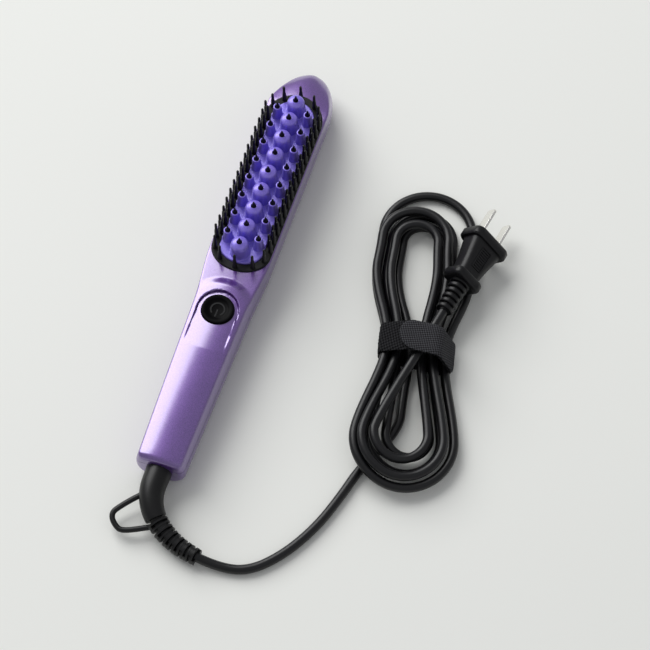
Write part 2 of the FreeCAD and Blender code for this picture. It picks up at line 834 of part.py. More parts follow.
def heater_parts():
    """Heater, pad, clamp and the clamp's screws, stacked in the plate's pocket."""
    middle = frame_middle()
    roof = plate_top() - size.pocket_roof
    heater_low = roof - size.heater_thickness
    heater = mid_box("ceramic_heater", (size.heater_width, size.heater_length, size.heater_thickness),
                     (0, middle, heater_low))
    pad_sides = (size.heater_width, size.heater_length - size.pad_short, heater_low - plate_foot())
    pad = mid_box("insulation_pad", pad_sides, (0, middle + size.pad_short / 2, plate_foot()))
    half = size.clamp_width / 2
    reach = size.pocket_length / 2 + size.clamp_overlap
    corners = [(-half, -reach), (half, -reach), (half, reach), (-half, reach)]
    hole = size.screw_diameter + size.fit * 2
    spot = size.pocket_length / 2 + size.clamp_overlap / 2
    holes = [(0, -spot, hole), (0, spot, hole)]
    seat = plate_foot() - size.clamp_thickness
    clamp = padded("heater_clamp", "XY_Plane", corners, size.clamp_thickness, (0, middle, seat), holes)
    pattern = screw_form("ClampScrew", size.clamp_screw_length)
    places = [Vector(0, float(y), float(seat)) for y in clamp_screw_places()]
    return [heater, pad, clamp, group("clamp_screws", pattern, places)]


def plate_parts():
    """Spacers, thermal fuse and thermistor under the hot plate."""
    sides = (size.spacer_width, size.spacer_width, size.spacer_height)
    pattern = mid_box("Spacer", sides, (0, 0, 0))
    low = float(plate_foot() - size.spacer_height)
    spots = [Vector(float(x), float(y), low) for x, y in pillar_spots()]
    spacers = group("plate_spacers", pattern, spots)
    x = size.pocket_width / 2 + size.spacer_width / 2
    fuse_low = plate_foot() - size.fuse_diameter / 2 - size.fit
    thermal_fuse = rod("thermal_fuse", size.fuse_diameter, size.fuse_length,
                       (x, frame_middle() - size.fuse_length / 2, fuse_low), ALONG)
    sensor_sides = (size.sensor_width, size.sensor_length, size.sensor_height)
    thermistor = mid_box("thermistor", sensor_sides, sensor_foot())
    return [spacers, thermal_fuse, thermistor]


def sensor_foot():
    """Middle of the thermistor's lower face."""
    x = -(size.pocket_width / 2 + size.spacer_width / 2)
    y = frame_middle() - size.heater_length / 2
    return x, y, plate_foot() - size.sensor_height


def post_rows():
    """Centre and side heat posts, each with a seat for its tip."""
    top = float(plate_top())
    middle = float(frame_middle())
    centre = stepped_pin("CentrePost", size.centre_post_base, size.centre_post_height, POST_SHARES)
    side = stepped_pin("SidePost", size.side_post_base, size.side_post_height, SIDE_POST_SHARES)
    tip = stepped_pin("PostTip", size.tip_diameter, size.tip_height, TIP_SHARES)
    seat = size.tip_diameter + size.fit * 2
    centre_cut = cut("CentrePostSeated", centre,
                     rod("CentreSeat", seat, size.tip_seat, (0, 0, size.centre_post_height - size.tip_seat)))
    side_cut = cut("SidePostSeated", side,
                   rod("SideSeat", seat, size.tip_seat, (0, 0, size.side_post_height - size.tip_seat)))
    steps = [mm.post_pitch * (index - (CENTRE_POSTS - 1) / 2) for index in range(CENTRE_POSTS)]
    centres = [Vector(0, middle + step, top) for step in steps]
    steps = [mm.post_pitch * (index - (SIDE_POSTS - 1) / 2) for index in range(SIDE_POSTS)]
    sides = [Vector(mm.side_post_offset * hand, middle + step, top) for hand in (-1, 1) for step in steps]
    centre_lift = UP * (mm.centre_post_height - mm.tip_seat)
    side_lift = UP * (mm.side_post_height - mm.tip_seat)
    return [
        group("centre_heat_posts", centre_cut, centres),
        group("side_heat_posts", side_cut, sides),
        group("centre_post_tips", tip, [spot + centre_lift for spot in centres]),
        group("side_post_tips", tip, [spot + side_lift for spot in sides]),
    ]


def bristle_rows():
    """Rows of bristles along the frame's sides and round its ends."""
    pattern = stepped_pin("Bristle", size.bristle_base, size.bristle_height, BRISTLE_SHARES)
    top = float(frame_top())
    middle = float(frame_middle())
    rows = []
    for name, hand in (("left", -1), ("right", 1)):
        for kind, count, offset in (("outer", OUTER_BRISTLES, mm.outer_row_offset),
                                    ("inner", INNER_BRISTLES, mm.inner_row_offset)):
            steps = [mm.bristle_pitch * (index - (count - 1) / 2) for index in range(count)]
            spots = [Vector(offset * hand, middle + step, top) for step in steps]
            rows.append(group(f"{name}_{kind}_bristles", pattern, spots))
    half = mm.frame_width / 2 - mm.end_row_inset
    ends = ((1, mm.frame_from_tip + mm.frame_far_depth, mm.frame_far_depth, FAR_TURNS),
            (-1, mm.frame_from_tip + mm.frame_length - mm.frame_near_depth, mm.frame_near_depth, NEAR_TURNS))
    spots = []
    for side, reach, depth, turns in ends:
        for turn in turns:
            angle = math.radians(turn)
            y = float(from_tip(reach)) + side * (depth - mm.end_row_inset) * math.cos(angle)
            spots.append(Vector(half * math.sin(angle), y, top))
    return rows + [group("end_bristles", pattern, spots)]


# Button and electronics
def button_parts():
    """Button with its flange and stem, and the plunger it presses."""
    y = from_end(size.button_from_end)
    top = size.grip_height
    radius = size.button_diameter / 2
    stem = size.stem_diameter / 2
    flange_top = size.ceiling_height - size.ceiling_drop - size.button_lift
    flange_low = flange_top - size.button_flange
    inner, middle, outer = BUTTON_RING_SHARES
    corners = [(0, stem_foot()), (stem, stem_foot()), (stem, flange_low)]
    corners += [(radius + size.button_flange, flange_low), (radius + size.button_flange, flange_top)]
    corners += [(radius, flange_top), (radius, top - size.button_dish), (radius * outer, top)]
    corners += [(radius * middle, top - size.button_dish / 4), (radius * inner, top - size.button_dish)]
    corners.append((0, top - size.button_dish * 1.5))
    button = turned("power_button", corners, (0, y, 0))
    plunger = rod("switch_plunger", size.plunger_diameter, size.plunger_length,
                  (0, y, stem_foot() - size.plunger_length))
    return [button, plunger]


def stem_foot():
    """Height of the lower end of the button's stem."""
    return size.board_top + size.switch_height + size.plunger_length - size.plunger_depth


def board_parts():
    """Control board, its screws and everything soldered to it."""
    half = size.board_width / 2
    corners = [(-half, 0), (half, 0), (half, size.board_length), (-half, size.board_length)]
    hole = size.screw_diameter + size.fit * 2
    holes = [(x, y - from_end(size.board_from_end), hole) for x, y in board_boss_spots()]
    low = size.board_top - size.board_thickness
    rear = from_end(size.board_from_end)
    board = padded("control_board", "XY_Plane", corners, size.board_thickness, (0, rear, low), holes)
    pattern = screw_form("BoardScrew", size.board_screw_length + size.board_thickness - size.fit * 4)
    spots = [Vector(float(x), float(y), float(low)) for x, y in board_boss_spots()]
    screws = group("board_screws", pattern, spots)
    return [board, screws] + board_components(low, rear)


def board_components(low, rear):
    """Switch, lamp, triac, capacitor, fuse and terminal of the board."""
    top = size.board_top
    button_y = from_end(size.button_from_end)
    block = mid_box("SwitchBlock", (size.switch_width, size.switch_width, size.switch_height),
                    (0, button_y, top))
    depth = size.plunger_depth + size.button_travel * 1.5
    bore = rod("SwitchBore", size.plunger_diameter + size.plunger_gap * 2, depth,
               (0, button_y, top + size.switch_height - depth))
    switch = cut("tact_switch", block, bore)
    lamp_spot = (size.lamp_offset, button_y, top)
    lens = stepped_pin("LampLens", size.lamp_diameter, size.lamp_height, POST_SHARES)
    doc.recompute()
    lamp = group("indicator_led", lens, [Vector(*(float(term) for term in lamp_spot))])
    triac = mid_box("power_triac", (size.triac_width, size.triac_length, size.triac_height),
                    (0, from_end(size.triac_from_end), top))
    place_y = from_end(size.component_from_end)
    capacitor = mid_box("filter_capacitor",
                        (size.capacitor_width, size.capacitor_length, size.capacitor_height),
                        (0, place_y, low - size.capacitor_height))
    line_fuse = rod("board_fuse", size.line_fuse_diameter, size.line_fuse_length,
                    (size.line_fuse_offset, place_y - size.line_fuse_length * 0.6,
                     top + size.line_fuse_diameter / 2 + size.fit), ALONG)
    terminal = box("lead_terminal", (size.terminal_width, size.terminal_length, size.terminal_height),
                   (-size.terminal_width / 2, rear, low - size.terminal_height))
    return [switch, lamp, triac, capacitor, line_fuse, terminal]


def cover_screws():
    """Three screws that hold the covers together, driven from the back."""
    pattern = screw_form("CoverScrew", size.cover_screw_length - size.fit * 4)
    seat = mm.cover_screw_seat
    return group("cover_screws", pattern, [Vector(0, float(y), seat) for y in cover_screw_places()])


# Round forms along a path
def arc_edge(start, start_way, end):
    """Arc from a point and its direction to another point."""
    chord = end - start
    across = chord - start_way * chord.dot(start_way)
    if across.Length < TINY * chord.Length:
        return Part.LineSegment(start, end).toShape()
    normal = across * (1 / across.Length)
    radius = chord.dot(chord) / (2 * chord.dot(normal))
    centre = start + normal * radius
    middle = (start + end) * 0.5 - centre
    bulge = centre + middle * (radius / middle.Length)
    if chord.dot(start_way) < 0:
        bulge = centre - middle * (radius / middle.Length)
    return Part.Arc(start, bulge, end).toShape()


def unit(vector):
    """Vector of length one."""
    return vector * (1 / vector.Length)


def tangent_lengths(span, way0, way1, lead0, lead1):
    """Lengths of the two tangents of a pair of arcs; one of them may be given."""
    bend = 1 - way0.dot(way1)
    if lead0 is not None:
        return lead0, (span.dot(span) - 2 * lead0 * span.dot(way0)) / (2 * (span.dot(way1) + lead0 * bend))
    if lead1 is not None:
        return (span.dot(span) - 2 * lead1 * span.dot(way1)) / (2 * (span.dot(way0) + lead1 * bend)), lead1
    along = span.dot(way0 + way1)
    if bend < TINY:
        even = span.dot(span) / (2 * along)
    else:
        root = math.sqrt(along * along + 2 * bend * span.dot(span))
        even = (root - along) / (2 * bend)
    return even, even


def arc_pair(start, way0, end, way1, lead0=None, lead1=None):
    """Two tangent arcs between two points with given directions."""
    way0 = unit(way0)
    way1 = unit(way1)
    lead0, lead1 = tangent_lengths(end - start, way0, way1, lead0, lead1)
    near = start + way0 * lead0
    far = end - way1 * lead1
    joint = near + (far - near) * (lead0 / (lead0 + lead1))
    return [arc_edge(start, way0, joint), arc_edge(joint, unit(far - near), end)]


def rounded_route(points):
    """Straight runs joined by tangent arcs."""
    edges = []
    last = points[0]
    for before, corner, after in zip(points, points[1:], points[2:]):
        way0 = unit(corner - before)
        way1 = unit(after - corner)
        reach = RUN_SHARE * min((corner - before).Length, (after - corner).Length)
        start = corner - way0 * reach
        end = corner + way1 * reach
        edges.append(Part.LineSegment(last, start).toShape())
        edges.append(arc_edge(start, way0, end))
        last = end
    edges.append(Part.LineSegment(last, points[-1]).toShape())
    return edges


def ring_wire(radius, spot, way):
    """Circle square to a direction, its seam kept on top."""
    side = unit(way.cross(UP))
    frame = Rotation(side, way.cross(side) * -1, way, "ZXY")
    circle = Part.Wire(Part.Circle(Vector(), UP, radius).toShape())
    circle.Placement = Placement(spot, frame)
    return circle


def tube(edges, diameter):
    """Round tube along a chain of tangent edges."""
    path = Part.Wire(edges)
    first = edges[0]
    spot = first.valueAt(first.FirstParameter)
    way = first.tangentAt(first.FirstParameter)
    profile = Part.Wire(Part.Circle(spot, way, diameter / 2).toShape())
    return path.makePipeShell([profile], True, False)


def least_radius(edges):
    """Smallest radius among the arcs of a chain."""
    return min(edge.Curve.Radius for edge in edges if hasattr(edge.Curve, "Radius"))


def spot_on(edges, reach):
    """Point and direction at a length along a chain of edges."""
    for edge in edges:
        if reach <= edge.Length + TINY:
            value = edge.getParameterByLength(min(reach, edge.Length))
            return edge.valueAt(value), unit(edge.tangentAt(value))
        reach -= edge.Length
    raise ValueError("The place lies past the chain's end")


# Cord boot and swivel
def boot_track():
    """Chain of edges along the middle of the boot, from the collar's face to its end."""
    wall_y = -mm.body_length / 2 + mm.casing_wall + mm.collar_gap
    height = mm.cord_axis_height
    bend_y = -mm.body_length / 2 - mm.boot_straight
    root = Vector(0, wall_y, height)
    bend = Vector(0, bend_y, height)
    end = Vector(mm.boot_end_x, -mm.body_length / 2 - mm.boot_end_back, mm.boot_end_height)
    way = boot_end_way()
    edges = [Part.LineSegment(root, bend).toShape()]
    edges += arc_pair(bend, -ALONG, end, way)
    edges.append(Part.LineSegment(end, end + way * mm.boot_end_run).toShape())
    return edges


def boot_end_way():
    """Direction in which the cord leaves the boot."""
    heading = math.radians(BOOT_HEADING)
    return Vector(math.cos(heading), math.sin(heading), 0)


def boot_loft():
    """Tapered boot: a plain root, then ribs with slots between them."""
    edges = boot_track()
    total = sum(edge.Length for edge in edges)
    rib_start = total * BOOT_RIB_SHARE
    rows = []
    for step in range(BOOT_ROOT_STEPS):
        share = step / BOOT_ROOT_STEPS
        rows.append((rib_start * share, mix(mm.boot_root, mm.boot_middle, share ** 2) / 2))
    pitch = (total - rib_start) / BOOT_RIBS
    for rib in range(BOOT_RIBS):
        crest = mix(mm.boot_middle, mm.boot_tip, rib / (BOOT_RIBS - 1)) / 2
        radii = (crest, crest, crest - mm.boot_slot, crest - mm.boot_slot)
        shares = RIB_CREST_SHARES if rib < BOOT_RIBS - 1 else (0.0, 1.0)
        for share, radius in zip(shares, radii):
            rows.append((rib_start + pitch * (rib + share), radius))
    wires = [ring_wire(radius, *spot_on(edges, reach)) for reach, radius in rows]
    return Part.makeLoft(wires, True, True)


def cord_boot():
    """Boot with the collar and stub that turn inside the handle."""
    end = from_end(size.casing_wall + size.collar_gap)
    height = size.cord_axis_height
    collar = rod("BootCollar", size.collar_diameter, size.collar_length, (0, end, height), ALONG)
    stub = rod("BootStub", size.stub_diameter, size.stub_length,
               (0, end + size.collar_length, height), ALONG)
    return fuse("cord_boot", form("BootRoot", boot_loft()), collar, stub)


def hang_loop(boot):
    """Rod bent into a loop at the boot's side, both ends on the boot."""
    points = [Vector(*point) for point in LOOP_SHARES]
    scale = mm.loop_rod / SIZES["loop_rod"]
    rod_form = form("LoopRod", tube(rounded_route(points), SIZES["loop_rod"] * scale))
    return cut("hang_loop", rod_form, boot)


def ring_places():
    """Places along the brush where the two contact rings start."""
    first = from_end(size.casing_wall + size.collar_gap + size.collar_length + size.ring_first)
    return first, first + size.ring_pitch


def swivel_parts():
    """Contact rings on the stub, and the contacts under them."""
    height = size.cord_axis_height
    outer = size.stub_diameter + size.ring_wall * 2
    contact_top = size.cord_axis_height - outer / 2 - size.contact_gap
    low = size.casing_wall - size.rest_trim + size.fit
    rings = []
    contacts = []
    for index, (y, side) in enumerate(zip(ring_places(), (1, -1))):
        hoop = rod(f"Hoop{index}", outer, size.ring_length, (0, y, height), ALONG)
        bore = rod(f"HoopBore{index}", size.stub_diameter + size.fit * 2, size.ring_length,
                   (0, y, height), ALONG)
        rings.append(cut(f"Ring{index}", hoop, bore))
        middle = y + size.ring_length / 2
        sides = (size.contact_width, size.contact_width, contact_top - low)
        post = mid_box(f"ContactPost{index}", sides, (0, middle, low))
        sides = (size.contact_reach, size.contact_width, size.contact_height)
        spot = (size.contact_reach / 2 * side, middle, low + size.contact_lift)
        foot = mid_box(f"ContactFoot{index}", sides, spot)
        contacts.append(fuse(f"Contact{index}", post, foot))
    doc.recompute()
    return [form("swivel_rings", Part.makeCompound([item.Shape for item in rings])),
            form("swivel_contacts", Part.makeCompound([item.Shape for item in contacts]))]


# Wires inside
def wire_set(label, routes, diameter):
    """Several wires as one node."""
    return form(label, Part.makeCompound([tube(rounded_route(route), diameter) for route in routes]))


def inner_wires():
    """Mains, heater and sensor wires."""
    board_rear = float(from_end(mm.board_from_end))
    board_front = board_rear + mm.board_length
    board_mid = mm.board_top - mm.board_thickness / 2
    return [mains_wires(board_rear), heater_wires(board_front, board_mid),
            sensor_wires(board_front, board_mid)]


def mains_wires(board_rear):
    """Wires from the swivel contacts to the terminal."""
    low = mm.casing_wall - mm.rest_trim + mm.contact_lift + mm.contact_height / 2
    terminal_z = mm.board_top - mm.board_thickness - mm.terminal_height / 2
    rear_x = mm.contact_reach - mm.wire_diameter
    front_x = mm.terminal_width / 4
    screw_y = float(from_end(mm.rear_screw_from_end))
    routes = []
    for y, side in zip(ring_places(), (1, -1)):
        start_y = float(y) + (mm.ring_length + mm.contact_width) / 2
        routes.append([Vector(side * rear_x, start_y, low), Vector(side * rear_x, screw_y, low),
                       Vector(side * front_x, board_rear - mm.terminal_length / 2, terminal_z),
                       Vector(side * front_x, board_rear, terminal_z)])
    return wire_set("mains_leads", routes, mm.wire_diameter)


def heater_wires(board_front, board_mid):
    """Wires from the board's front edge to the heater's underside."""
    end_y = float(frame_middle()) - mm.heater_length / 2 + mm.pad_short / 2
    end_x = mm.heater_width / 2 - mm.wire_diameter / 2
    end_z = float(plate_top()) - mm.pocket_roof - mm.heater_thickness
    start_x = mm.cover_boss / 2 + mm.wire_diameter
    screw_y = float(from_end(mm.mid_screw_from_end)) + mm.cover_boss / 2
    routes = []
    for side in (-1, 1):
        routes.append([Vector(side * start_x, board_front, board_mid),
                       Vector(side * start_x, screw_y, board_mid),
                       Vector(side * end_x, end_y, board_mid), Vector(side * end_x, end_y, end_z)])
    return wire_set("heater_leads", routes, mm.wire_diameter)


def sensor_wires(board_front, board_mid):
    """Wires from the board's front edge to the thermistor."""
    x, y, z = (float(term) for term in sensor_foot())
    routes = []
    for side in (-1, 1):
        end_x = x + side * mm.sensor_wire
        end_y = y - side * mm.sensor_length / 4
        start_x = -(mm.board_width / 2 - mm.wire_diameter) + side * mm.sensor_wire
        routes.append([Vector(start_x, board_front, board_mid),
                       Vector(start_x, mix(board_front, end_y, RUN_SHARE), board_mid),
                       Vector(end_x, end_y, board_mid), Vector(end_x, end_y, z)])
    return wire_set("sensor_leads", routes, mm.sensor_wire)


# Cord
def hank_frame():
    """Where the hank lies on the surface."""
    return Placement(Vector(mm.hank_x, mm.hank_y, 0), Rotation(UP, HANK_TURN))


def rest_height():
    """Height of the cord's middle where it lies on the surface."""
    return mm.cord_diameter / 2 + mm.floor_gap


def lead_points():
    """Corners of the free lead, from the boot's end to the hank's start."""
    edges = boot_track()
    start = edges[-1].valueAt(edges[-1].LastParameter)
    hank = hank_frame()
    points = [start]
    points += [Vector(x, y, rest_height()) for x, y in LEAD_SHARES]
    points += [hank.multVec(Vector(x, y, rest_height())) for x, y in LEAD_LOCAL_SHARES]
    return points


def cord_lead():
    """Free cord from the boot to the hank."""
    edges = rounded_route(lead_points())
    length = sum(edge.Length for edge in edges)
    shape = tube(edges, mm.cord_diameter)
    section = math.pi * mm.cord_diameter ** 2 / 4
    print("lead length", round(length, 1), "least radius", round(least_radius(edges), 1),
          "volume share", round(shape.Volume / (section * length), 4))
    return form("cord_lead", shape)


class HankPlan:
    """Waist, loop and hump nodes of the hank, each a point and a direction."""

    def __init__(self):
        self.step = mm.cord_diameter + mm.strand_gap
        self.ring = mm.cord_diameter + mm.loop_gap
        self.floor = rest_height()
        self.waist_z = mm.floor_gap + mm.tie_thickness + mm.tie_slack + mm.cord_diameter / 2
        self.layer = mm.cord_diameter + mm.loop_gap
        self.hump_z = mm.floor_gap + mm.cord_diameter * 1.5 + mm.hump_gap
        self.lean = -self.ring * UPPER_LEAN_SHARE

    def radius(self, ring):
        """Radius of an upper loop."""
        return mm.inner_loop + self.ring * ring

    def lower_radius(self, ring):
        """Radius of a lower loop; these lie further apart."""
        return mm.inner_loop + (mm.cord_diameter + mm.lower_gap) * ring

    def waist(self, side, column, layer):
        """Node where a strand passes through the tie."""
        spot = Vector(side * (0.5 + column) * self.step, 0, self.waist_z + layer * self.layer)
        return SimpleNamespace(spot=spot, way=Vector(0, -side, 0), loop=None)

    def upper(self, ring, height, shift=0.0, reach=0.0):
        """Node at the top of an upper loop."""
        centre = Vector(self.lean + shift, mm.upper_loop_reach + reach, height)
        return SimpleNamespace(spot=centre + ALONG * self.radius(ring), way=ACROSS,
                               loop=(centre, self.radius(ring), QUARTER))

    def lower(self, ring, height):
        """Node at the bottom of a lower loop."""
        centre = Vector(-mm.lower_loop_shift, -mm.lower_loop_reach, height)
        return SimpleNamespace(spot=centre - ALONG * self.lower_radius(ring), way=-ACROSS,
                               loop=(centre, self.lower_radius(ring), QUARTER))

    def hump(self, ring, height, degrees=HUMP_TURN):
        """Node where a lower loop climbs over the lead."""
        turn = math.radians(degrees)
        centre = Vector(-mm.lower_loop_shift, -mm.lower_loop_reach, height)
        out = Vector(-math.cos(turn), -math.sin(turn), 0)
        return SimpleNamespace(spot=centre + out * self.lower_radius(ring),
                               way=Vector(-math.sin(turn), math.cos(turn), 0),
                               loop=(centre, self.lower_radius(ring), turn))

    def nodes(self):
        """The nodes in the order in which the cord runs through them."""
        floor, hump, layer = self.floor, self.hump_z, self.layer
        lift = mm.loop_gap
        ridge = mm.cord_diameter + mm.loop_gap
        low = (floor + ridge / 2, floor + ridge * 0.36, floor + ridge * 0.6)
        return [
            self.waist(-1, 0, 0), self.upper(0, floor), self.waist(1, 0, 0),
            self.lower(0, low[0]), self.hump(0, hump),
            self.waist(-1, 1, 0), self.upper(1, floor), self.waist(1, 1, 0),
            self.lower(1, low[1]), self.hump(1, hump),
            self.waist(-1, 2, 0), self.upper(2.4, floor, 0.0, ridge * 0.46), self.waist(1, 2, 0),
            self.lower(2, low[2]), self.hump(2, hump + ridge * 0.52),
            self.waist(-1, 2, 1), self.upper(1.5, floor + layer + lift, -ridge / 2), self.waist(1, 1, 1),
            self.lower(1.35, low[1] + layer), self.hump(1.35, hump + layer + lift * 2),
            self.waist(-1, 1, 1), self.upper(0.5, floor + layer + lift, -ridge / 2), self.waist(1, 0, 1),
            self.lower(0.5, low[0] + layer + lift), self.hump(0.45, hump + layer + lift * 2, TAIL_TURN),
        ]


def loop_lead(node, waist):
    """Tangent length at a loop node that keeps the loop's own radius next to it."""
    centre, radius, turn = node.loop
    offset = waist.spot - centre
    run = abs(offset.x)
    rise = abs(offset.y)
    other = (run * run + rise * rise - radius * radius) / (2 * (radius - run))
    lean = math.atan2(rise, run + other)
    return radius * math.tan((turn + lean) / 2)


def hank_edges():
    """Chain of arcs through the whole hank, in the hank's own frame."""
    plan = HankPlan()
    nodes = plan.nodes()
    start = Vector(*LEAD_LOCAL_SHARES[-1], plan.floor)
    run = start + ALONG * mm.cord_diameter
    edges = [Part.LineSegment(start, run).toShape()]
    edges += arc_pair(run, ALONG, nodes[0].spot, nodes[0].way)
    for first, second in zip(nodes, nodes[1:]):
        lead0 = loop_lead(first, second) if first.loop and not second.loop else None
        lead1 = loop_lead(second, first) if second.loop and not first.loop else None
        edges += arc_pair(first.spot, first.way, second.spot, second.way, lead0, lead1)
    plug = plug_frame()
    entry = plug.multVec(Vector())
    way = plug.Rotation.multVec(ALONG)
    join = entry - way * mm.cord_diameter
    edges += arc_pair(nodes[-1].spot, nodes[-1].way, join, way)
    edges.append(Part.LineSegment(join, entry).toShape())
    return edges


def least_gap(edges, diameter):
    """Smallest gap of the hank to itself, measured on points along it."""
    spacing = diameter / 4
    points = []
    for edge in edges:
        count = max(2, int(edge.Length / spacing))
        points += edge.discretize(count)[:-1]
    away = int(diameter * math.pi / spacing)
    best = min(((one - other).Length, one)
               for index, one in enumerate(points) for other in points[index + away:])
    return best[0] - diameter, best[1]


def cord_hank():
    """The wound cord as one unbroken tube, from the lead to the plug."""
    edges = hank_edges()
    length = sum(edge.Length for edge in edges)
    shape = tube(edges, mm.cord_diameter)
    section = math.pi * mm.cord_diameter ** 2 / 4
    gap, spot = least_gap(edges, mm.cord_diameter)
    print("hank length", round(length, 1), "least radius", round(least_radius(edges), 1),
          "volume share", round(shape.Volume / (section * length), 4))
    print("hank least gap", round(gap, 2), "near", [round(value, 1) for value in spot])
    shape.Placement = hank_frame()
    return form("cord_hank", shape)


def tie_polygon():
    """Corners round which the tie is drawn, across the hank at its waist."""
    plan = HankPlan()
    side = plan.step * 2.5
    crest = mm.plug_z + mm.loop_gap
    reach = plan.step / 2
    rows = [(-side, plan.waist_z), (-side, plan.waist_z + plan.layer), (-reach, crest),
            (reach * 3, crest), (side, plan.waist_z)]
    return Part.makePolygon([Vector(x, -mm.tie_width, z) for x, z in rows + rows[:1]])


def tie_band(inner, outer):
    """Band between two offsets of the tie's corners, longer than the tie is wide."""
    line = tie_polygon()
    ring = Part.Face(line.makeOffset2D(outer)).cut(Part.Face(line.makeOffset2D(inner)))
    return ring.extrude(ALONG * (mm.tie_width * 2))


def hank_tie():
    """Strap round the hank's waist, its loose end laid over the top with a round tip."""
    inner = mm.cord_diameter / 2 + mm.tie_slack
    band = tie_band(inner, inner + mm.tie_thickness)
    lap = tie_band(inner + mm.tie_thickness, inner + mm.tie_thickness * 2)
    wide = mm.tie_width * 4
    strip = Part.makeBox(wide, mm.tie_width, wide, Vector(-wide / 2, -mm.tie_width / 2, -wide / 2))
    tongue = Part.makeCylinder(mm.tie_width / 2, wide, Vector(-mm.tie_tab + mm.tie_width / 2, 0, 0))
    flap = Part.makeBox(wide, mm.tie_width, wide,
                        Vector(-mm.tie_tab + mm.tie_width / 2, -mm.tie_width / 2, mm.cord_diameter))
    turn = Rotation(UP, TIE_SLANT)
    for tool in (strip, tongue, flap):
        tool.Placement = Placement(Vector(), turn).multiply(tool.Placement)
    lap_part = lap.common(tongue.fuse(flap)).common(strip)
    solid = band.common(strip).fuse(lap_part).removeSplitter()
    solid.Placement = hank_frame()
    return form("hank_tie", solid)


# Plug
def plug_frame():
    """Where the plug lies in the hank's frame: its cable end, heading, pitch and roll."""
    turn = Rotation(UP, -PLUG_HEADING)
    turn = turn.multiply(Rotation(ACROSS, PLUG_PITCH))
    turn = turn.multiply(Rotation(ALONG, PLUG_ROLL))
    return Placement(Vector(mm.plug_x, mm.plug_y, mm.plug_z), turn)


def rounded_oblong(y, width, height, corner):
    """Rounded rectangle square to the plug's axis."""
    half_w = width / 2
    half_h = height / 2
    bend = min(corner, half_h * RUN_SHARE * 2)
    edges = []
    for index in range(4):
        angle = index * QUARTER
        sign_x = 1 if index in (0, 3) else -1
        sign_z = 1 if index in (0, 1) else -1
        centre = Vector(sign_x * (half_w - bend), y, sign_z * (half_h - bend))
        spots = [centre + Vector(math.cos(angle + share * QUARTER), 0,
                                 math.sin(angle + share * QUARTER)) * bend for share in (0, 0.5, 1)]
        edges.append(Part.Arc(*spots).toShape())
    corners = [(edge.valueAt(edge.FirstParameter), edge.valueAt(edge.LastParameter)) for edge in edges]
    for (_, end), (start, _) in zip(corners, corners[1:] + corners[:1]):
        edges.append(Part.LineSegment(end, start).toShape())
    return Part.Wire(Part.__sortEdges__(edges))


def oblong_loft(rows):
    """Loft through rounded rectangles (y, width, height)."""
    return Part.makeLoft([rounded_oblong(*row, mm.plug_corner) for row in rows], True, True)


def relief_loft():
    """Ribbed strain relief at the plug's cable end."""
    rows = []
    pitch = mm.relief_length / RELIEF_RIBS
    for rib in range(RELIEF_RIBS):
        crest = mix(mm.relief_cable_end, mm.relief_body_end, rib / (RELIEF_RIBS - 1)) / 2
        for share, dip in zip(RIB_CREST_SHARES, (0, 0, mm.relief_slot, mm.relief_slot)):
            rows.append((pitch * (rib + share), crest - dip))
    rows.append((mm.relief_length + mm.fit, mm.relief_body_end / 2 - mm.relief_slot))
    wires = [ring_wire(radius, ALONG * y, ALONG) for y, radius in rows]
    return Part.makeLoft(wires, True, True)


def plug_parts():
    """Moulded plug body and its two blades."""
    collar_end = mm.relief_length + mm.collar_depth
    flange_start = mm.plug_length - mm.plug_flange_depth
    half = mm.collar_depth / 2
    collar = oblong_loft(((mm.relief_length, mm.plug_collar_width, mm.plug_collar_height),
                          (mm.relief_length + half, mm.plug_collar_width, mm.plug_collar_height),
                          (collar_end, mm.plug_waist_width, mm.plug_waist_height)))
    body = oblong_loft(((collar_end, mm.plug_waist_width, mm.plug_waist_height),
                        (flange_start, mm.plug_flange_width - half, mm.plug_flange_height - half)))
    flange = oblong_loft(((flange_start, mm.plug_flange_width, mm.plug_flange_height),
                          (mm.plug_length, mm.plug_flange_width, mm.plug_flange_height)))
    solid = relief_loft().fuse([collar, body, flange]).removeSplitter()
    solid.Placement = hank_frame().multiply(plug_frame())
    return [form("plug_body", solid), plug_blades()]


def plug_blades():
    """Two flat blades with a round hole, standing on the plug's front face."""
    half = size.blade_width / 2
    length = size.blade_length
    nib = size.blade_thickness
    corners = [(0, -half), (length - nib, -half), (length, -half + nib), (length, half - nib)]
    corners += [(length - nib, half), (0, half)]
    holes = [(length - size.blade_width / 2 - nib, 0, size.blade_hole)]
    pattern = padded("Blade", "YZ_Plane", corners, size.blade_thickness,
                     (-size.blade_thickness / 2, size.plug_length, 0), holes)
    half_pitch = mm.blade_pitch / 2
    blades = group("plug_blades", pattern, [ACROSS * half_pitch, ACROSS * -half_pitch])
    shape = blades.Shape.copy()
    shape.Placement = hank_frame().multiply(plug_frame())
    blades.Shape = shape
    return blades


def build():
    """Make every sub-part and return them in order."""
    fill_sheet()
    forms = casing_forms()
    shell = cut("CasingShell", forms["OuterForm"], forms["InnerForm"])
    groove = parting_groove(forms)
    swivel = swivel_tools()
    boot = cord_boot()
    parts = [top_cover(forms, shell, groove, swivel), back_cover(forms, shell, groove, swivel)]
    parts += [bristle_frame(), heater_plate()]
    parts += heater_parts() + plate_parts() + post_rows() + bristle_rows()
    parts += button_parts() + board_parts() + [cover_screws()]
    parts += [boot, hang_loop(boot)] + swivel_parts() + inner_wires()
    parts += [cord_lead(), cord_hank(), hank_tie()] + plug_parts()
    doc.recompute()
    return parts


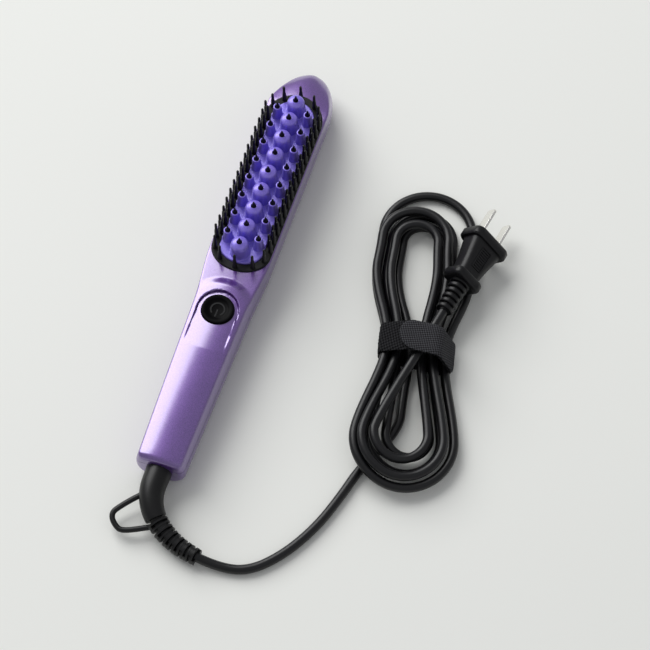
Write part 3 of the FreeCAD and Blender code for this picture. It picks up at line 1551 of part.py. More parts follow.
def export(parts):
    """Check every sub-part and write it to its own file."""
    os.makedirs("parts", exist_ok=True)
    for obj in parts:
        faults = [state for state in obj.State if state in ("Invalid", "Error")]
        if faults or obj.Shape.isNull() or not obj.Shape.isValid():
            raise RuntimeError(f"{obj.Label} did not build: {faults}")
        obj.Shape.exportStep(f"parts/{obj.Label}.step")
        print(obj.Label, "solids", len(obj.Shape.Solids), "volume", round(obj.Shape.Volume, 1))


export(build())
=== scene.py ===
"""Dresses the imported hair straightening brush: paint, heat posts, bristles, button, boot, cord, tie and plug.

Frame: X across the brush, Y along it towards the tip of the head, Z up from the surface it lies on.
Sizes in the classes are in millimetres and become metres where a mesh is made.
"""

import json
import logging
import math
from collections.abc import Sequence
from dataclasses import dataclass, field, replace
from enum import Enum
from itertools import accumulate
from typing import ClassVar

import bmesh
import bpy
from mathutils import Matrix, Vector, noise


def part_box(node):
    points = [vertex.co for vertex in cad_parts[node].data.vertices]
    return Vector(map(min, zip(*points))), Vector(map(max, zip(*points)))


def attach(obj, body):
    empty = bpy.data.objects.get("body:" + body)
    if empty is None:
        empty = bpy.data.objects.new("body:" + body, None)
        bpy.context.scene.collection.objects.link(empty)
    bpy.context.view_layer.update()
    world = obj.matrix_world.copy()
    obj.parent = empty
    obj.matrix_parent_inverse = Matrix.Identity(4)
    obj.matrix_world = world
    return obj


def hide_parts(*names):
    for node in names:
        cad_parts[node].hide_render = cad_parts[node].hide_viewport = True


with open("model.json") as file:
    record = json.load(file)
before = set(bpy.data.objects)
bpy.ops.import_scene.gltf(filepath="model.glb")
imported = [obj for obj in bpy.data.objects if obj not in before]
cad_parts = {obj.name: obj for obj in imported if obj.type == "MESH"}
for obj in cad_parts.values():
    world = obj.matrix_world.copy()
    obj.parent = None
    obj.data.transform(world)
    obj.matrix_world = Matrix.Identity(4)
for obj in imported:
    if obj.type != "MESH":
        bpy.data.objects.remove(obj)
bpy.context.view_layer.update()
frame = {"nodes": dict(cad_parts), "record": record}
MM = 0.001
SMOOTH_ANGLE = math.radians(38)
LEAST_RADIUS = 0.01
SPLINE_ORDER = 3
SPLINE_STEPS = 8
BEVEL_STEPS = 5
log = logging.getLogger("straightening_brush")

UP = Vector((0, 0, 1))
ALONG = Vector((0, 1, 0))

Pair = tuple[float, float]
Triple = tuple[float, float, float]
Rows = list[list[Vector]]
Faces = list[tuple[int, ...]]
Profile = Sequence[Pair]
Place = tuple[int, int]
Colour = tuple[float, float, float, float]


class Body(Enum):
    """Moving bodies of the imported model."""

    BRUSH = "brush"
    BUTTON = "button"
    CORD_SET = "cord_set"


# Numbers and places
def mix(first: float, second: float, share: float) -> float:
    """Value between two others."""
    return first + (second - first) * share


def between(one: Pair, two: Pair, share: float) -> Pair:
    """Pair between two others."""
    return mix(one[0], two[0], share), mix(one[1], two[1], share)


def clamped(share: float) -> float:
    """Share kept from 0 to 1."""
    return min(max(share, 0.0), 1.0)


def eased(share: float) -> float:
    """Share kept from 0 to 1 that starts and stops gently."""
    share = clamped(share)
    return share * share * (3 - 2 * share)


def srgb(red: int, green: int, blue: int) -> Colour:
    """Linear colour of a screen colour given in 0 to 255."""
    def linear(level: int) -> float:
        """Linear value of one channel."""
        share = level / 255
        return share / 12.92 if share <= 0.04045 else ((share + 0.055) / 1.055) ** 2.4
    return linear(red), linear(green), linear(blue), 1.0


# Node trees
class Signal:
    """Output socket of a node that takes part in Python arithmetic."""

    def __init__(self, nodes: "Nodes", socket: bpy.types.NodeSocket) -> None:
        """Keep the holder of the node's tree and the socket."""
        self.nodes = nodes
        self.socket = socket

    def math(self, operation: str, *terms: "Signal | float") -> "Signal":
        """Add a Math node.

        Args:
            operation: The node's operation.
            terms: Its inputs in order.

        Returns:
            The node's output.
        """
        return self.nodes.signal("ShaderNodeMath", {"operation": operation}, dict(enumerate(terms)))

    def __add__(self, other: "Signal | float") -> "Signal":
        """Sum."""
        return self.math("ADD", self, other)

    def __sub__(self, other: "Signal | float") -> "Signal":
        """Difference."""
        return self.math("SUBTRACT", self, other)

    def __mul__(self, other: "Signal | float") -> "Signal":
        """Product."""
        return self.math("MULTIPLY", self, other)

    __radd__ = __add__

    def above(self, edge: float, soft: float) -> "Signal":
        """One where the signal is over an edge, zero under it, with a soft step between."""
        settings = {"interpolation_type": "SMOOTHSTEP"}
        sockets = {"Value": self, "From Min": edge - soft, "From Max": edge + soft}
        return self.nodes.signal("ShaderNodeMapRange", settings, sockets)


class Nodes:
    """A shader or geometry tree that nodes are added to."""

    def __init__(self, tree: bpy.types.NodeTree) -> None:
        """Keep the tree."""
        self.tree = tree

    def feed(self, socket: bpy.types.NodeSocket, value: object) -> None:
        """Link a signal to a socket, or set the socket's own value."""
        if isinstance(value, Signal):
            self.tree.links.new(value.socket, socket)
        else:
            socket.default_value = value

    def add(self, kind: str, settings: dict | None = None, sockets: dict | None = None) -> bpy.types.Node:
        """Add any node.

        Args:
            kind: The node's type.
            settings: Properties that are set first.
            sockets: Values or signals by the input's name or index.

        Returns:
            The new node.
        """
        node = self.tree.nodes.new(kind)
        for name, value in (settings or {}).items():
            setattr(node, name, value)
        for name, value in (sockets or {}).items():
            self.feed(node.inputs[name], value)
        return node

    def signal(self, kind: str, settings: dict | None = None, sockets: dict | None = None,
               output: int | str = 0) -> Signal:
        """Add any node and take the output of a name or index."""
        return Signal(self, self.add(kind, settings, sockets).outputs[output])


class Graph(Nodes):
    """Node tree of one material, with its Principled shader."""

    def __init__(self, name: str) -> None:
        """Make the material.

        Args:
            name: Name of the material.
        """
        self.material = bpy.data.materials.new(name)
        self.material.use_nodes = True
        super().__init__(self.material.node_tree)
        self.shader = self.tree.nodes["Principled BSDF"]

    def put(self, **values: object) -> None:
        """Feed the shader's inputs, named with underscores for spaces."""
        for name, value in values.items():
            self.feed(self.shader.inputs[name.replace("_", " ")], value)

    def place(self, kind: str = "Object", stretch: Sequence[float] = (1, 1, 1),
              turn: Sequence[float] = (0, 0, 0)) -> Signal:
        """Texture coordinates through a Mapping node.

        Args:
            kind: Object or UV.
            stretch: Scale along each axis.
            turn: Rotation about each axis.

        Returns:
            The mapped vector.
        """
        source = self.signal("ShaderNodeTexCoord", output=kind)
        sockets = {"Vector": source, "Scale": stretch, "Rotation": turn}
        return self.signal("ShaderNodeMapping", {}, sockets)

    def noise(self, spot: Signal, grain: float, detail: float = 2.0) -> Signal:
        """Noise from 0 to 1 whose features are about one grain across, in metres."""
        return self.signal("ShaderNodeTexNoise", {}, {"Vector": spot, "Scale": 1 / grain, "Detail": detail})

    def cells(self, spot: Signal, grain: float) -> Signal:
        """Random grey of cells about one grain across, in metres."""
        cells = self.signal("ShaderNodeTexVoronoi", {}, {"Vector": spot, "Scale": 1 / grain}, "Color")
        return self.signal("ShaderNodeRGBToBW", {}, {0: cells})

    def blend(self, share: Signal, first: Colour, second: Colour) -> Signal:
        """Colour between two others."""
        return self.signal("ShaderNodeMix", {"data_type": "RGBA"}, {0: share, 6: first, 7: second}, 2)

    def relief(self, height: Signal, depth: float) -> Signal:
        """Bump from a height signal, its depth in metres."""
        return self.signal("ShaderNodeBump", {}, {"Height": height, "Distance": depth, "Strength": 1.0})


# Finishes
@dataclass(frozen=True)
class Finish:
    """A moulded surface with a fine grain; the base of the other finishes."""

    BROAD: ClassVar[float] = 24.0
    TONE_STEP: ClassVar[float] = 0.3

    name: str
    colour: Colour
    second: Colour
    roughness: float = 0.5
    metallic: float = 0.0
    coat: float = 0.0
    grain: float = 0.4
    depth: float = 0.01
    wander: float = 0.1
    shine: float = 0.5
    coat_roughness: float = 0.12
    coat_index: float = 1.5

    def material(self) -> bpy.types.Material:
        """The finish's material, made on first use."""
        made = bpy.data.materials.get(self.name)
        if made:
            return made
        graph = Graph(self.name)
        graph.put(Metallic=self.metallic, Coat_Weight=self.coat, Coat_Roughness=self.coat_roughness,
                  Coat_IOR=self.coat_index, Specular_IOR_Level=self.shine)
        self.dress(graph)
        return graph.material

    def surface(self, graph: Graph, share: Signal, rough: Signal, height: Signal) -> None:
        """Feed the shader's varying inputs.

        Args:
            graph: The material's graph.
            share: How far the colour goes from the first to the second.
            rough: Roughness.
            height: Relief, from 0 to 1 of the finish's depth.
        """
        graph.put(Base_Color=graph.blend(share, self.colour, self.second), Roughness=rough,
                  Normal=graph.relief(height, self.depth * MM))

    def dress(self, graph: Graph) -> None:
        """Fine grain in colour, roughness and relief."""
        spot = graph.place()
        fine = graph.noise(spot, self.grain * MM)
        broad = graph.noise(spot, self.grain * MM * self.BROAD)
        rough = self.roughness + (fine - 0.5) * self.wander + (broad - 0.5) * self.wander
        self.surface(graph, broad.above(0.5, self.TONE_STEP), rough, fine)


@dataclass(frozen=True)
class FlakePaint(Finish):
    """Metallic paint: small bright flakes under a clear coat."""

    CLOUD: ClassVar[float] = 40.0
    PEEL: ClassVar[float] = 4.0
    FLAKE_SHARE: ClassVar[float] = 0.75

    flake: float = 0.22

    def dress(self, graph: Graph) -> None:
        """Flakes in colour and roughness, and the slight waviness of a sprayed coat."""
        spot = graph.place()
        flakes = graph.cells(spot, self.flake * MM)
        cloud = graph.noise(spot, self.grain * MM * self.CLOUD)
        share = flakes * self.FLAKE_SHARE + cloud * (1 - self.FLAKE_SHARE)
        rough = self.roughness + (flakes - 0.5) * self.wander
        self.surface(graph, share, rough, graph.noise(spot, self.grain * MM * self.PEEL))


@dataclass(frozen=True)
class Drawn(Finish):
    """Surface with fine lines along one axis, as on rolled metal or a drawn filament."""

    WORN: ClassVar[float] = 18.0
    LINE_DETAIL: ClassVar[float] = 3.0
    LINE_SHARE: ClassVar[float] = 0.6

    stretch: Triple = (1.0, 0.05, 1.0)
    turn: Triple = (0.0, 0.0, 0.0)

    def dress(self, graph: Graph) -> None:
        """Lines in colour, roughness and relief."""
        lines = graph.noise(graph.place("Object", self.stretch, self.turn), self.grain * MM, self.LINE_DETAIL)
        worn = graph.noise(graph.place(), self.grain * MM * self.WORN)
        rough = self.roughness + (lines - 0.5) * self.wander + (worn - 0.5) * self.wander
        self.surface(graph, lines * self.LINE_SHARE + worn * (1 - self.LINE_SHARE), rough, lines)


@dataclass(frozen=True)
class Woven(Finish):
    """Hook-and-loop webbing on the strap's own UV map, which is in metres along and across the strap."""

    DIAGONAL: ClassVar[float] = math.radians(28)
    FUZZ_DETAIL: ClassVar[float] = 4.0
    WEAVE_SHARE: ClassVar[float] = 0.6
    FUZZ_SHARE: ClassVar[float] = 0.8
    # Edge and softness of the step from painted shade in the hollows to painted highlight on the loop tops.
    TONE: ClassVar[Pair] = (0.75, 0.35)

    thread: float = 0.9

    def dress(self, graph: Graph) -> None:
        """Diagonal rows of loops with fuzz between them, coloured by height: painted shade in the hollows, painted
        highlight on the loop tops.
        """
        pitch = 1 / (self.thread * MM)
        spot = graph.place("UV", (pitch, pitch, pitch), (0, 0, self.DIAGONAL))
        along, across = (graph.signal("ShaderNodeSeparateXYZ", {}, {0: spot}, axis) * math.tau for axis in range(2))
        weave = along.math("SINE", along) * across.math("SINE", across)
        fuzz = graph.noise(graph.place("UV"), self.grain * MM, self.FUZZ_DETAIL)
        height = (weave * 0.5 + 0.5) * self.WEAVE_SHARE + fuzz * self.FUZZ_SHARE
        rough = self.roughness + (fuzz - 0.5) * self.wander
        # The colour follows the relief height: the first colour is painted shade in the hollows, the second a painted
        # highlight on the loop tops; the fuzz adds random tone.
        self.surface(graph, height.above(*self.TONE), rough, height)


class Look(Enum):
    """Every finish of the brush; a slot's usual finish has the slot's name."""

    SHELL = FlakePaint("lilac_paint", srgb(66, 26, 114), srgb(118, 72, 168), 0.36, 0.6, 1.0, 0.3, 0.01, 0.1,
                       coat_roughness=0.18, coat_index=2.2)
    PLATE = FlakePaint("violet_coating", srgb(106, 84, 206), srgb(152, 136, 236), 0.32, 0.22, 0.7, 0.25, 0.006, 0.1,
                       coat_roughness=0.3)
    BLACK_PLASTIC = Finish("black_moulding", srgb(9, 9, 10), srgb(16, 16, 17), 0.48, grain=0.25, depth=0.02,
                           wander=0.16, shine=0.25)
    BRISTLE = Drawn("bristle_nylon", srgb(9, 9, 9), srgb(17, 17, 17), 0.45, grain=0.3, depth=0.01, shine=0.3,
                    stretch=(1.0, 1.0, 0.08))
    BUTTON = Finish("button_cap", srgb(3, 3, 4), srgb(6, 6, 7), 0.4, grain=0.2, depth=0.006, shine=0.05)
    SIGN = Finish("button_sign", srgb(17, 18, 19), srgb(26, 27, 28), 0.45, grain=0.2, depth=0.004, shine=0.2)
    BOOT = Finish("boot_rubber", srgb(7, 7, 8), srgb(12, 12, 13), 0.38, grain=0.3, depth=0.02, wander=0.14,
                  shine=0.36)
    CORD_RUBBER = Drawn("cord_jacket", srgb(7, 7, 9), srgb(13, 13, 16), 0.36, grain=0.8, depth=0.015, wander=0.12,
                        shine=0.4, stretch=(1.0, 0.25, 1.0), turn=(0.0, 0.0, math.radians(-12)))
    PLUG_RUBBER = Finish("plug_moulding", srgb(8, 8, 10), srgb(14, 14, 16), 0.36, grain=0.3, depth=0.016, wander=0.14,
                         shine=0.32)
    # Webbing: the dark first colour is painted shade in the hollows, the pale second colour a painted highlight on
    # the loop tops.
    STRAP = Woven("strap_weave", srgb(5, 5, 6), srgb(78, 78, 82), 0.85, grain=0.4, depth=0.4, wander=0.2, shine=0.2,
                  thread=1.7)
    FLEECE = Woven("strap_loops", srgb(4, 4, 5), srgb(48, 48, 50), 0.9, grain=0.6, depth=0.6, wander=0.2, shine=0.1,
                   thread=2.3)
    NICKEL = Drawn("blade_nickel", srgb(228, 226, 220), srgb(246, 245, 240), 0.22, 1.0, grain=0.2, depth=0.004,
                   stretch=(1.0, 0.06, 1.0))
    CERAMIC = Finish("heater_ceramic", srgb(226, 222, 212), srgb(240, 238, 230), 0.6, grain=0.2)
    PAD = Finish("mica_pad", srgb(186, 164, 122), srgb(212, 192, 150), 0.7, grain=0.6, depth=0.05)
    STEEL = Drawn("zinc_steel", srgb(150, 152, 154), srgb(186, 188, 190), 0.35, 1.0, grain=0.25)
    SILICONE = Finish("spacer_silicone", srgb(150, 60, 48), srgb(170, 76, 60), 0.6, grain=0.4)
    COMPONENT = Finish("component_case", srgb(28, 28, 30), srgb(40, 40, 42), 0.55, grain=0.3)
    LAMP = Finish("lamp_lens", srgb(190, 40, 36), srgb(212, 60, 52), 0.2, coat=0.4, grain=0.4, depth=0.004)
    CAPACITOR = Finish("capacitor_case", srgb(196, 160, 40), srgb(212, 178, 60), 0.45, grain=0.5)
    BOARD = Finish("board_laminate", srgb(24, 92, 52), srgb(34, 112, 64), 0.45, grain=0.5, depth=0.02)
    BRASS = Drawn("contact_brass", srgb(196, 160, 84), srgb(214, 182, 108), 0.3, 1.0, grain=0.25)
    WIRE = Finish("wire_jacket", srgb(176, 48, 40), srgb(196, 64, 54), 0.5, grain=0.4)


# Objects and meshes
def linked(name: str, data: bpy.types.ID) -> bpy.types.Object:
    """New object at the origin, in the scene."""
    thing = bpy.data.objects.new(name, data)
    bpy.context.scene.collection.objects.link(thing)
    return thing


def evaluated(thing: bpy.types.Object) -> bpy.types.Mesh:
    """Mesh that an object's modifiers or curve settings make of it."""
    graph = bpy.context.evaluated_depsgraph_get()
    return bpy.data.meshes.new_from_object(thing.evaluated_get(graph), depsgraph=graph)


def new_piece(name: str, mesh: bpy.types.Mesh, look: Look) -> bpy.types.Object:
    """Object at the origin with one finish.

    Args:
        name: Name of the piece.
        mesh: Its mesh, already in place.
        look: Its finish.

    Returns:
        The object, linked to the scene.
    """
    piece = linked(name, mesh)
    wear(piece, look)
    return piece


def wear(piece: bpy.types.Object, look: Look) -> None:
    """Give an object one finish in place of what it has."""
    piece.data.materials.clear()
    piece.data.materials.append(look.value.material())


def smoothed(mesh: bpy.types.Mesh) -> bpy.types.Mesh:
    """Smooth shading with creases kept where faces meet at a clear angle."""
    mesh.shade_smooth()
    mesh.set_sharp_from_angle(angle=SMOOTH_ANGLE)
    return mesh


def mesh_of(name: str, points: Sequence[Vector], faces: Sequence[Sequence[int]]) -> bpy.types.Mesh:
    """Smooth mesh from points in millimetres and faces."""
    mesh = bpy.data.meshes.new(name)
    mesh.from_pydata([point * MM for point in points], [], faces)
    mesh.validate()
    return smoothed(mesh)


def skin(rows: Rows, start: int = 0) -> Faces:
    """Quads between closed rows of points, and a face on each end.

    Args:
        rows: Rings of equally many points, each anticlockwise seen against the way they follow.
        start: Index of the first point.

    Returns:
        The faces, pointing outwards.
    """
    count = len(rows[0])
    faces: Faces = []
    for row in range(len(rows) - 1):
        base = start + row * count
        for index in range(count):
            follower = (index + 1) % count
            faces.append((base + index, base + follower, base + count + follower, base + count + index))
    last = start + (len(rows) - 1) * count
    faces.append(tuple(start + index for index in reversed(range(count))))
    faces.append(tuple(last + index for index in range(count)))
    return faces


def lofted(name: str, *groups: Rows) -> bpy.types.Mesh:
    """One mesh of several closed skins."""
    points: list[Vector] = []
    faces: Faces = []
    for rows in groups:
        faces += skin(rows, len(points))
        points += [point for row in rows for point in row]
    return mesh_of(name, points, faces)


def circle(sides: int) -> list[float]:
    """Angles in radians once round, in equal steps."""
    return [math.tau * index / sides for index in range(sides)]


def ring(radius: float, height: float, sides: int) -> list[Vector]:
    """Circle about the Z axis at one height."""
    return [Vector((radius * math.cos(turn), radius * math.sin(turn), height)) for turn in circle(sides)]


def lathe(profile: Profile, sides: int) -> Rows:
    """Rings of a turned form from (radius, height) pairs that go up."""
    return [ring(max(radius, LEAST_RADIUS), height, sides) for radius, height in profile]


def arc_steps(first: float, last: float, count: int) -> list[float]:
    """Angles in radians from one angle in degrees to another."""
    return [math.radians(mix(first, last, step / count)) for step in range(count + 1)]


def carved(piece: bpy.types.Object, tool: bpy.types.Mesh) -> bpy.types.Object:
    """Take a tool's form out of a piece."""
    cutter = linked("tool", tool)
    modifier = piece.modifiers.new("carve", "BOOLEAN")
    modifier.operation = "DIFFERENCE"
    modifier.solver = "EXACT"
    modifier.object = cutter
    mesh = evaluated(piece)
    piece.modifiers.clear()
    piece.data = smoothed(mesh)
    bpy.data.objects.remove(cutter)
    return piece


def moved(rows: Rows, place: Matrix) -> Rows:
    """Rows of points taken into another frame."""
    return [[place @ point for point in row] for row in rows]


def stand_in(piece: bpy.types.Object, body: Body, slot: str, *nodes: str) -> bpy.types.Object:
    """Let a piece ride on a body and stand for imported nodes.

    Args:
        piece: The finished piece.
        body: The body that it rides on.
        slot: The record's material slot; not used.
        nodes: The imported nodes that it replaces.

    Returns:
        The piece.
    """
    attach(piece, body.value)
    if nodes:
        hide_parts(*nodes)
    log.info("%s: %d faces, for %s", piece.name, len(getattr(piece.data, "polygons", ())), ", ".join(nodes))
    return piece


# Lines and curves
def length_of(line: Sequence[Vector]) -> float:
    """Length of straight runs between points."""
    return sum((two - one).length for one, two in zip(line, line[1:]))


def heading(line: Sequence[Vector], index: int) -> Vector:
    """Way from the point before one point of a line to the point after it."""
    return line[min(index + 1, len(line) - 1)] - line[max(index - 1, 0)]


def even_points(knots: Sequence[Vector], count: int) -> list[Vector]:
    """Points at equal lengths along straight runs between knots.

    Args:
        knots: The ends of the runs.
        count: How many equal lengths there are.

    Returns:
        One point more than there are lengths.
    """
    reach = list(accumulate(((two - one).length for one, two in zip(knots, knots[1:])), initial=0.0))
    spots = []
    run = 0
    for step in range(count + 1):
        goal = reach[-1] * step / count
        while run < len(knots) - 2 and reach[run + 1] < goal:
            run += 1
        spots.append(knots[run].lerp(knots[run + 1], (goal - reach[run]) / (reach[run + 1] - reach[run])))
    return spots


def round_row(spot: Vector, ahead: Vector, radius: float, sides: int) -> list[Vector]:
    """Circle square to a direction."""
    along = ahead.normalized()
    right = along.cross(UP).normalized()
    over = right.cross(along)
    spots = [spot + (right * math.cos(turn) - over * math.sin(turn)) * -radius for turn in circle(sides)]
    return spots[::-1]


def curve_object(name: str, kind: str, twist: str, spots: Sequence[Vector]) -> bpy.types.Object:
    """Object whose curve is one open spline.

    Args:
        name: Name of the object.
        kind: The spline's type.
        twist: How the curve's section turns along it.
        spots: Its points in millimetres.

    Returns:
        The object, linked to the scene.
    """
    curve = bpy.data.curves.new(name, "CURVE")
    curve.dimensions = "3D"
    curve.twist_mode = twist
    spline = curve.splines.new(kind)
    spline.points.add(len(spots) - 1)
    for point, spot in zip(spline.points, spots):
        point.co = (*(spot * MM), 1.0)
    return linked(name, curve)


def spline_object(name: str, points: Sequence[Vector], diameter: float) -> bpy.types.Object:
    """Curve object of one open NURBS spline with a round section."""
    holder = curve_object(name, "NURBS", "MINIMUM", points)
    curve = holder.data
    curve.bevel_depth = diameter / 2 * MM
    curve.bevel_resolution = BEVEL_STEPS
    curve.use_fill_caps = True
    spline = curve.splines[0]
    spline.order_u = SPLINE_ORDER
    spline.use_endpoint_u = True
    spline.resolution_u = SPLINE_STEPS
    return holder


# Geometry Nodes
class Tree(Nodes):
    """A Geometry Nodes tree with named inputs, ended by Realize Instances and Set Material."""

    SOCKETS = {"Pattern": "NodeSocketObject", "Material": "NodeSocketMaterial", "Lean": "NodeSocketFloat",
               "Seed": "NodeSocketInt", "Count": "NodeSocketInt", "First": "NodeSocketFloat",
               "Last": "NodeSocketFloat", "Turn": "NodeSocketFloat"}

    def __init__(self, name: str, inputs: Sequence[str]) -> None:
        """Make the tree's interface.

        Args:
            name: Name of the tree.
            inputs: Names of its inputs after the geometry.
        """
        super().__init__(bpy.data.node_groups.new(name, "GeometryNodeTree"))
        face = self.tree.interface
        face.new_socket("Geometry", in_out="INPUT", socket_type="NodeSocketGeometry")
        face.new_socket("Geometry", in_out="OUTPUT", socket_type="NodeSocketGeometry")
        self.keys = {}
        for label in inputs:
            socket = face.new_socket(label, in_out="INPUT", socket_type=self.SOCKETS[label])
            self.keys[label] = socket.identifier
        self.source = self.tree.nodes.new("NodeGroupInput")

    def vector(self, **parts: "Signal | float") -> Signal:
        """Vector of the parts that are given."""
        return self.signal("ShaderNodeCombineXYZ", {}, parts)

    def stood(self, spots: Signal, **sockets: Signal) -> None:
        """End the tree with the pattern on every point, as plain geometry in one material.

        Args:
            spots: The points.
            sockets: Rotation and Scale of each copy.
        """
        pattern = self.signal("GeometryNodeObjectInfo", {}, {"Object": self.given("Pattern")}, "Geometry")
        copies = self.signal("GeometryNodeInstanceOnPoints", {}, {"Points": spots, "Instance": pattern, **sockets})
        solid = self.signal("GeometryNodeRealizeInstances", {}, {"Geometry": copies})
        dressed = self.signal("GeometryNodeSetMaterial", {}, {"Geometry": solid, "Material": self.given("Material")})
        self.add("NodeGroupOutput", {}, {0: dressed})

    def given(self, label: str) -> Signal:
        """One of the tree's inputs."""
        return Signal(self, self.source.outputs[label])

    def grow(self, name: str, carrier: bpy.types.Object, pattern: bpy.types.Mesh, look: Look,
             **values: float) -> bpy.types.Object:
        """Run the tree on a carrier and keep the result as a plain mesh.

        Args:
            name: Name of the piece.
            carrier: Object whose geometry the tree reads; removed afterwards.
            pattern: Mesh that is copied.
            look: Finish of the piece.
            values: The tree's other inputs by name.

        Returns:
            The finished piece.
        """
        mould = new_piece(f"{name}_pattern", pattern, look)
        modifier = carrier.modifiers.new(name, "NODES")
        modifier.node_group = self.tree
        modifier[self.keys["Pattern"]] = mould
        modifier[self.keys["Material"]] = look.value.material()
        for label, value in values.items():
            modifier[self.keys[label]] = value
        mesh = evaluated(carrier)
        for spent in (carrier, mould):
            bpy.data.objects.remove(spent)
        return new_piece(name, smoothed(mesh), look)


class StandTree(Tree):
    """Stands a pattern on every point of a mesh, leaning a little at random."""

    def __init__(self) -> None:
        """Build the tree."""
        super().__init__("StandOnPoints", ("Pattern", "Material", "Lean", "Seed"))
        tilt = self.vector(X=self.sway(0), Y=self.sway(1))
        self.stood(self.given("Geometry"), Rotation=self.signal("FunctionNodeEulerToRotation", {}, {0: tilt}))

    def sway(self, axis: int) -> Signal:
        """Random lean of a point about one axis."""
        lean = self.given("Lean")
        sockets = {2: lean * -1.0, 3: lean, 8: self.given("Seed") + float(axis)}
        return self.signal("FunctionNodeRandomValue", {"data_type": "FLOAT"}, sockets, 1)


class PathTree(Tree):
    """Sets copies of a pattern along a curve, each turned on from the one before and scaled along the way."""

    def __init__(self) -> None:
        """Build the tree."""
        super().__init__("SetAlongPath", ("Pattern", "Material", "Count", "First", "Last", "Turn"))
        count = self.given("Count")
        walk = self.add("GeometryNodeCurveToPoints", {"mode": "COUNT"},
                        {"Curve": self.given("Geometry"), "Count": count})
        spots, way = (Signal(self, walk.outputs[label]) for label in ("Points", "Rotation"))
        index = self.signal("GeometryNodeInputIndex")
        size = self.signal("ShaderNodeMapRange", {}, {
            "Value": index, "From Max": count - 1.0, "To Min": self.given("First"), "To Max": self.given("Last")})
        about = self.vector(Z=index * self.given("Turn"))
        turn = self.signal("FunctionNodeEulerToRotation", {}, {0: about})
        aimed = self.signal("FunctionNodeRotateRotation", {"rotation_space": "LOCAL"}, {0: way, 1: turn})
        self.stood(spots, Rotation=aimed, Scale=self.vector(X=size, Y=size, Z=1.0))


def point_carrier(spots: Sequence[Vector]) -> bpy.types.Object:
    """Object whose mesh is loose points, given in millimetres."""
    mesh = bpy.data.meshes.new("spots")
    mesh.from_pydata([spot * MM for spot in spots], [], [])
    return linked("spots", mesh)


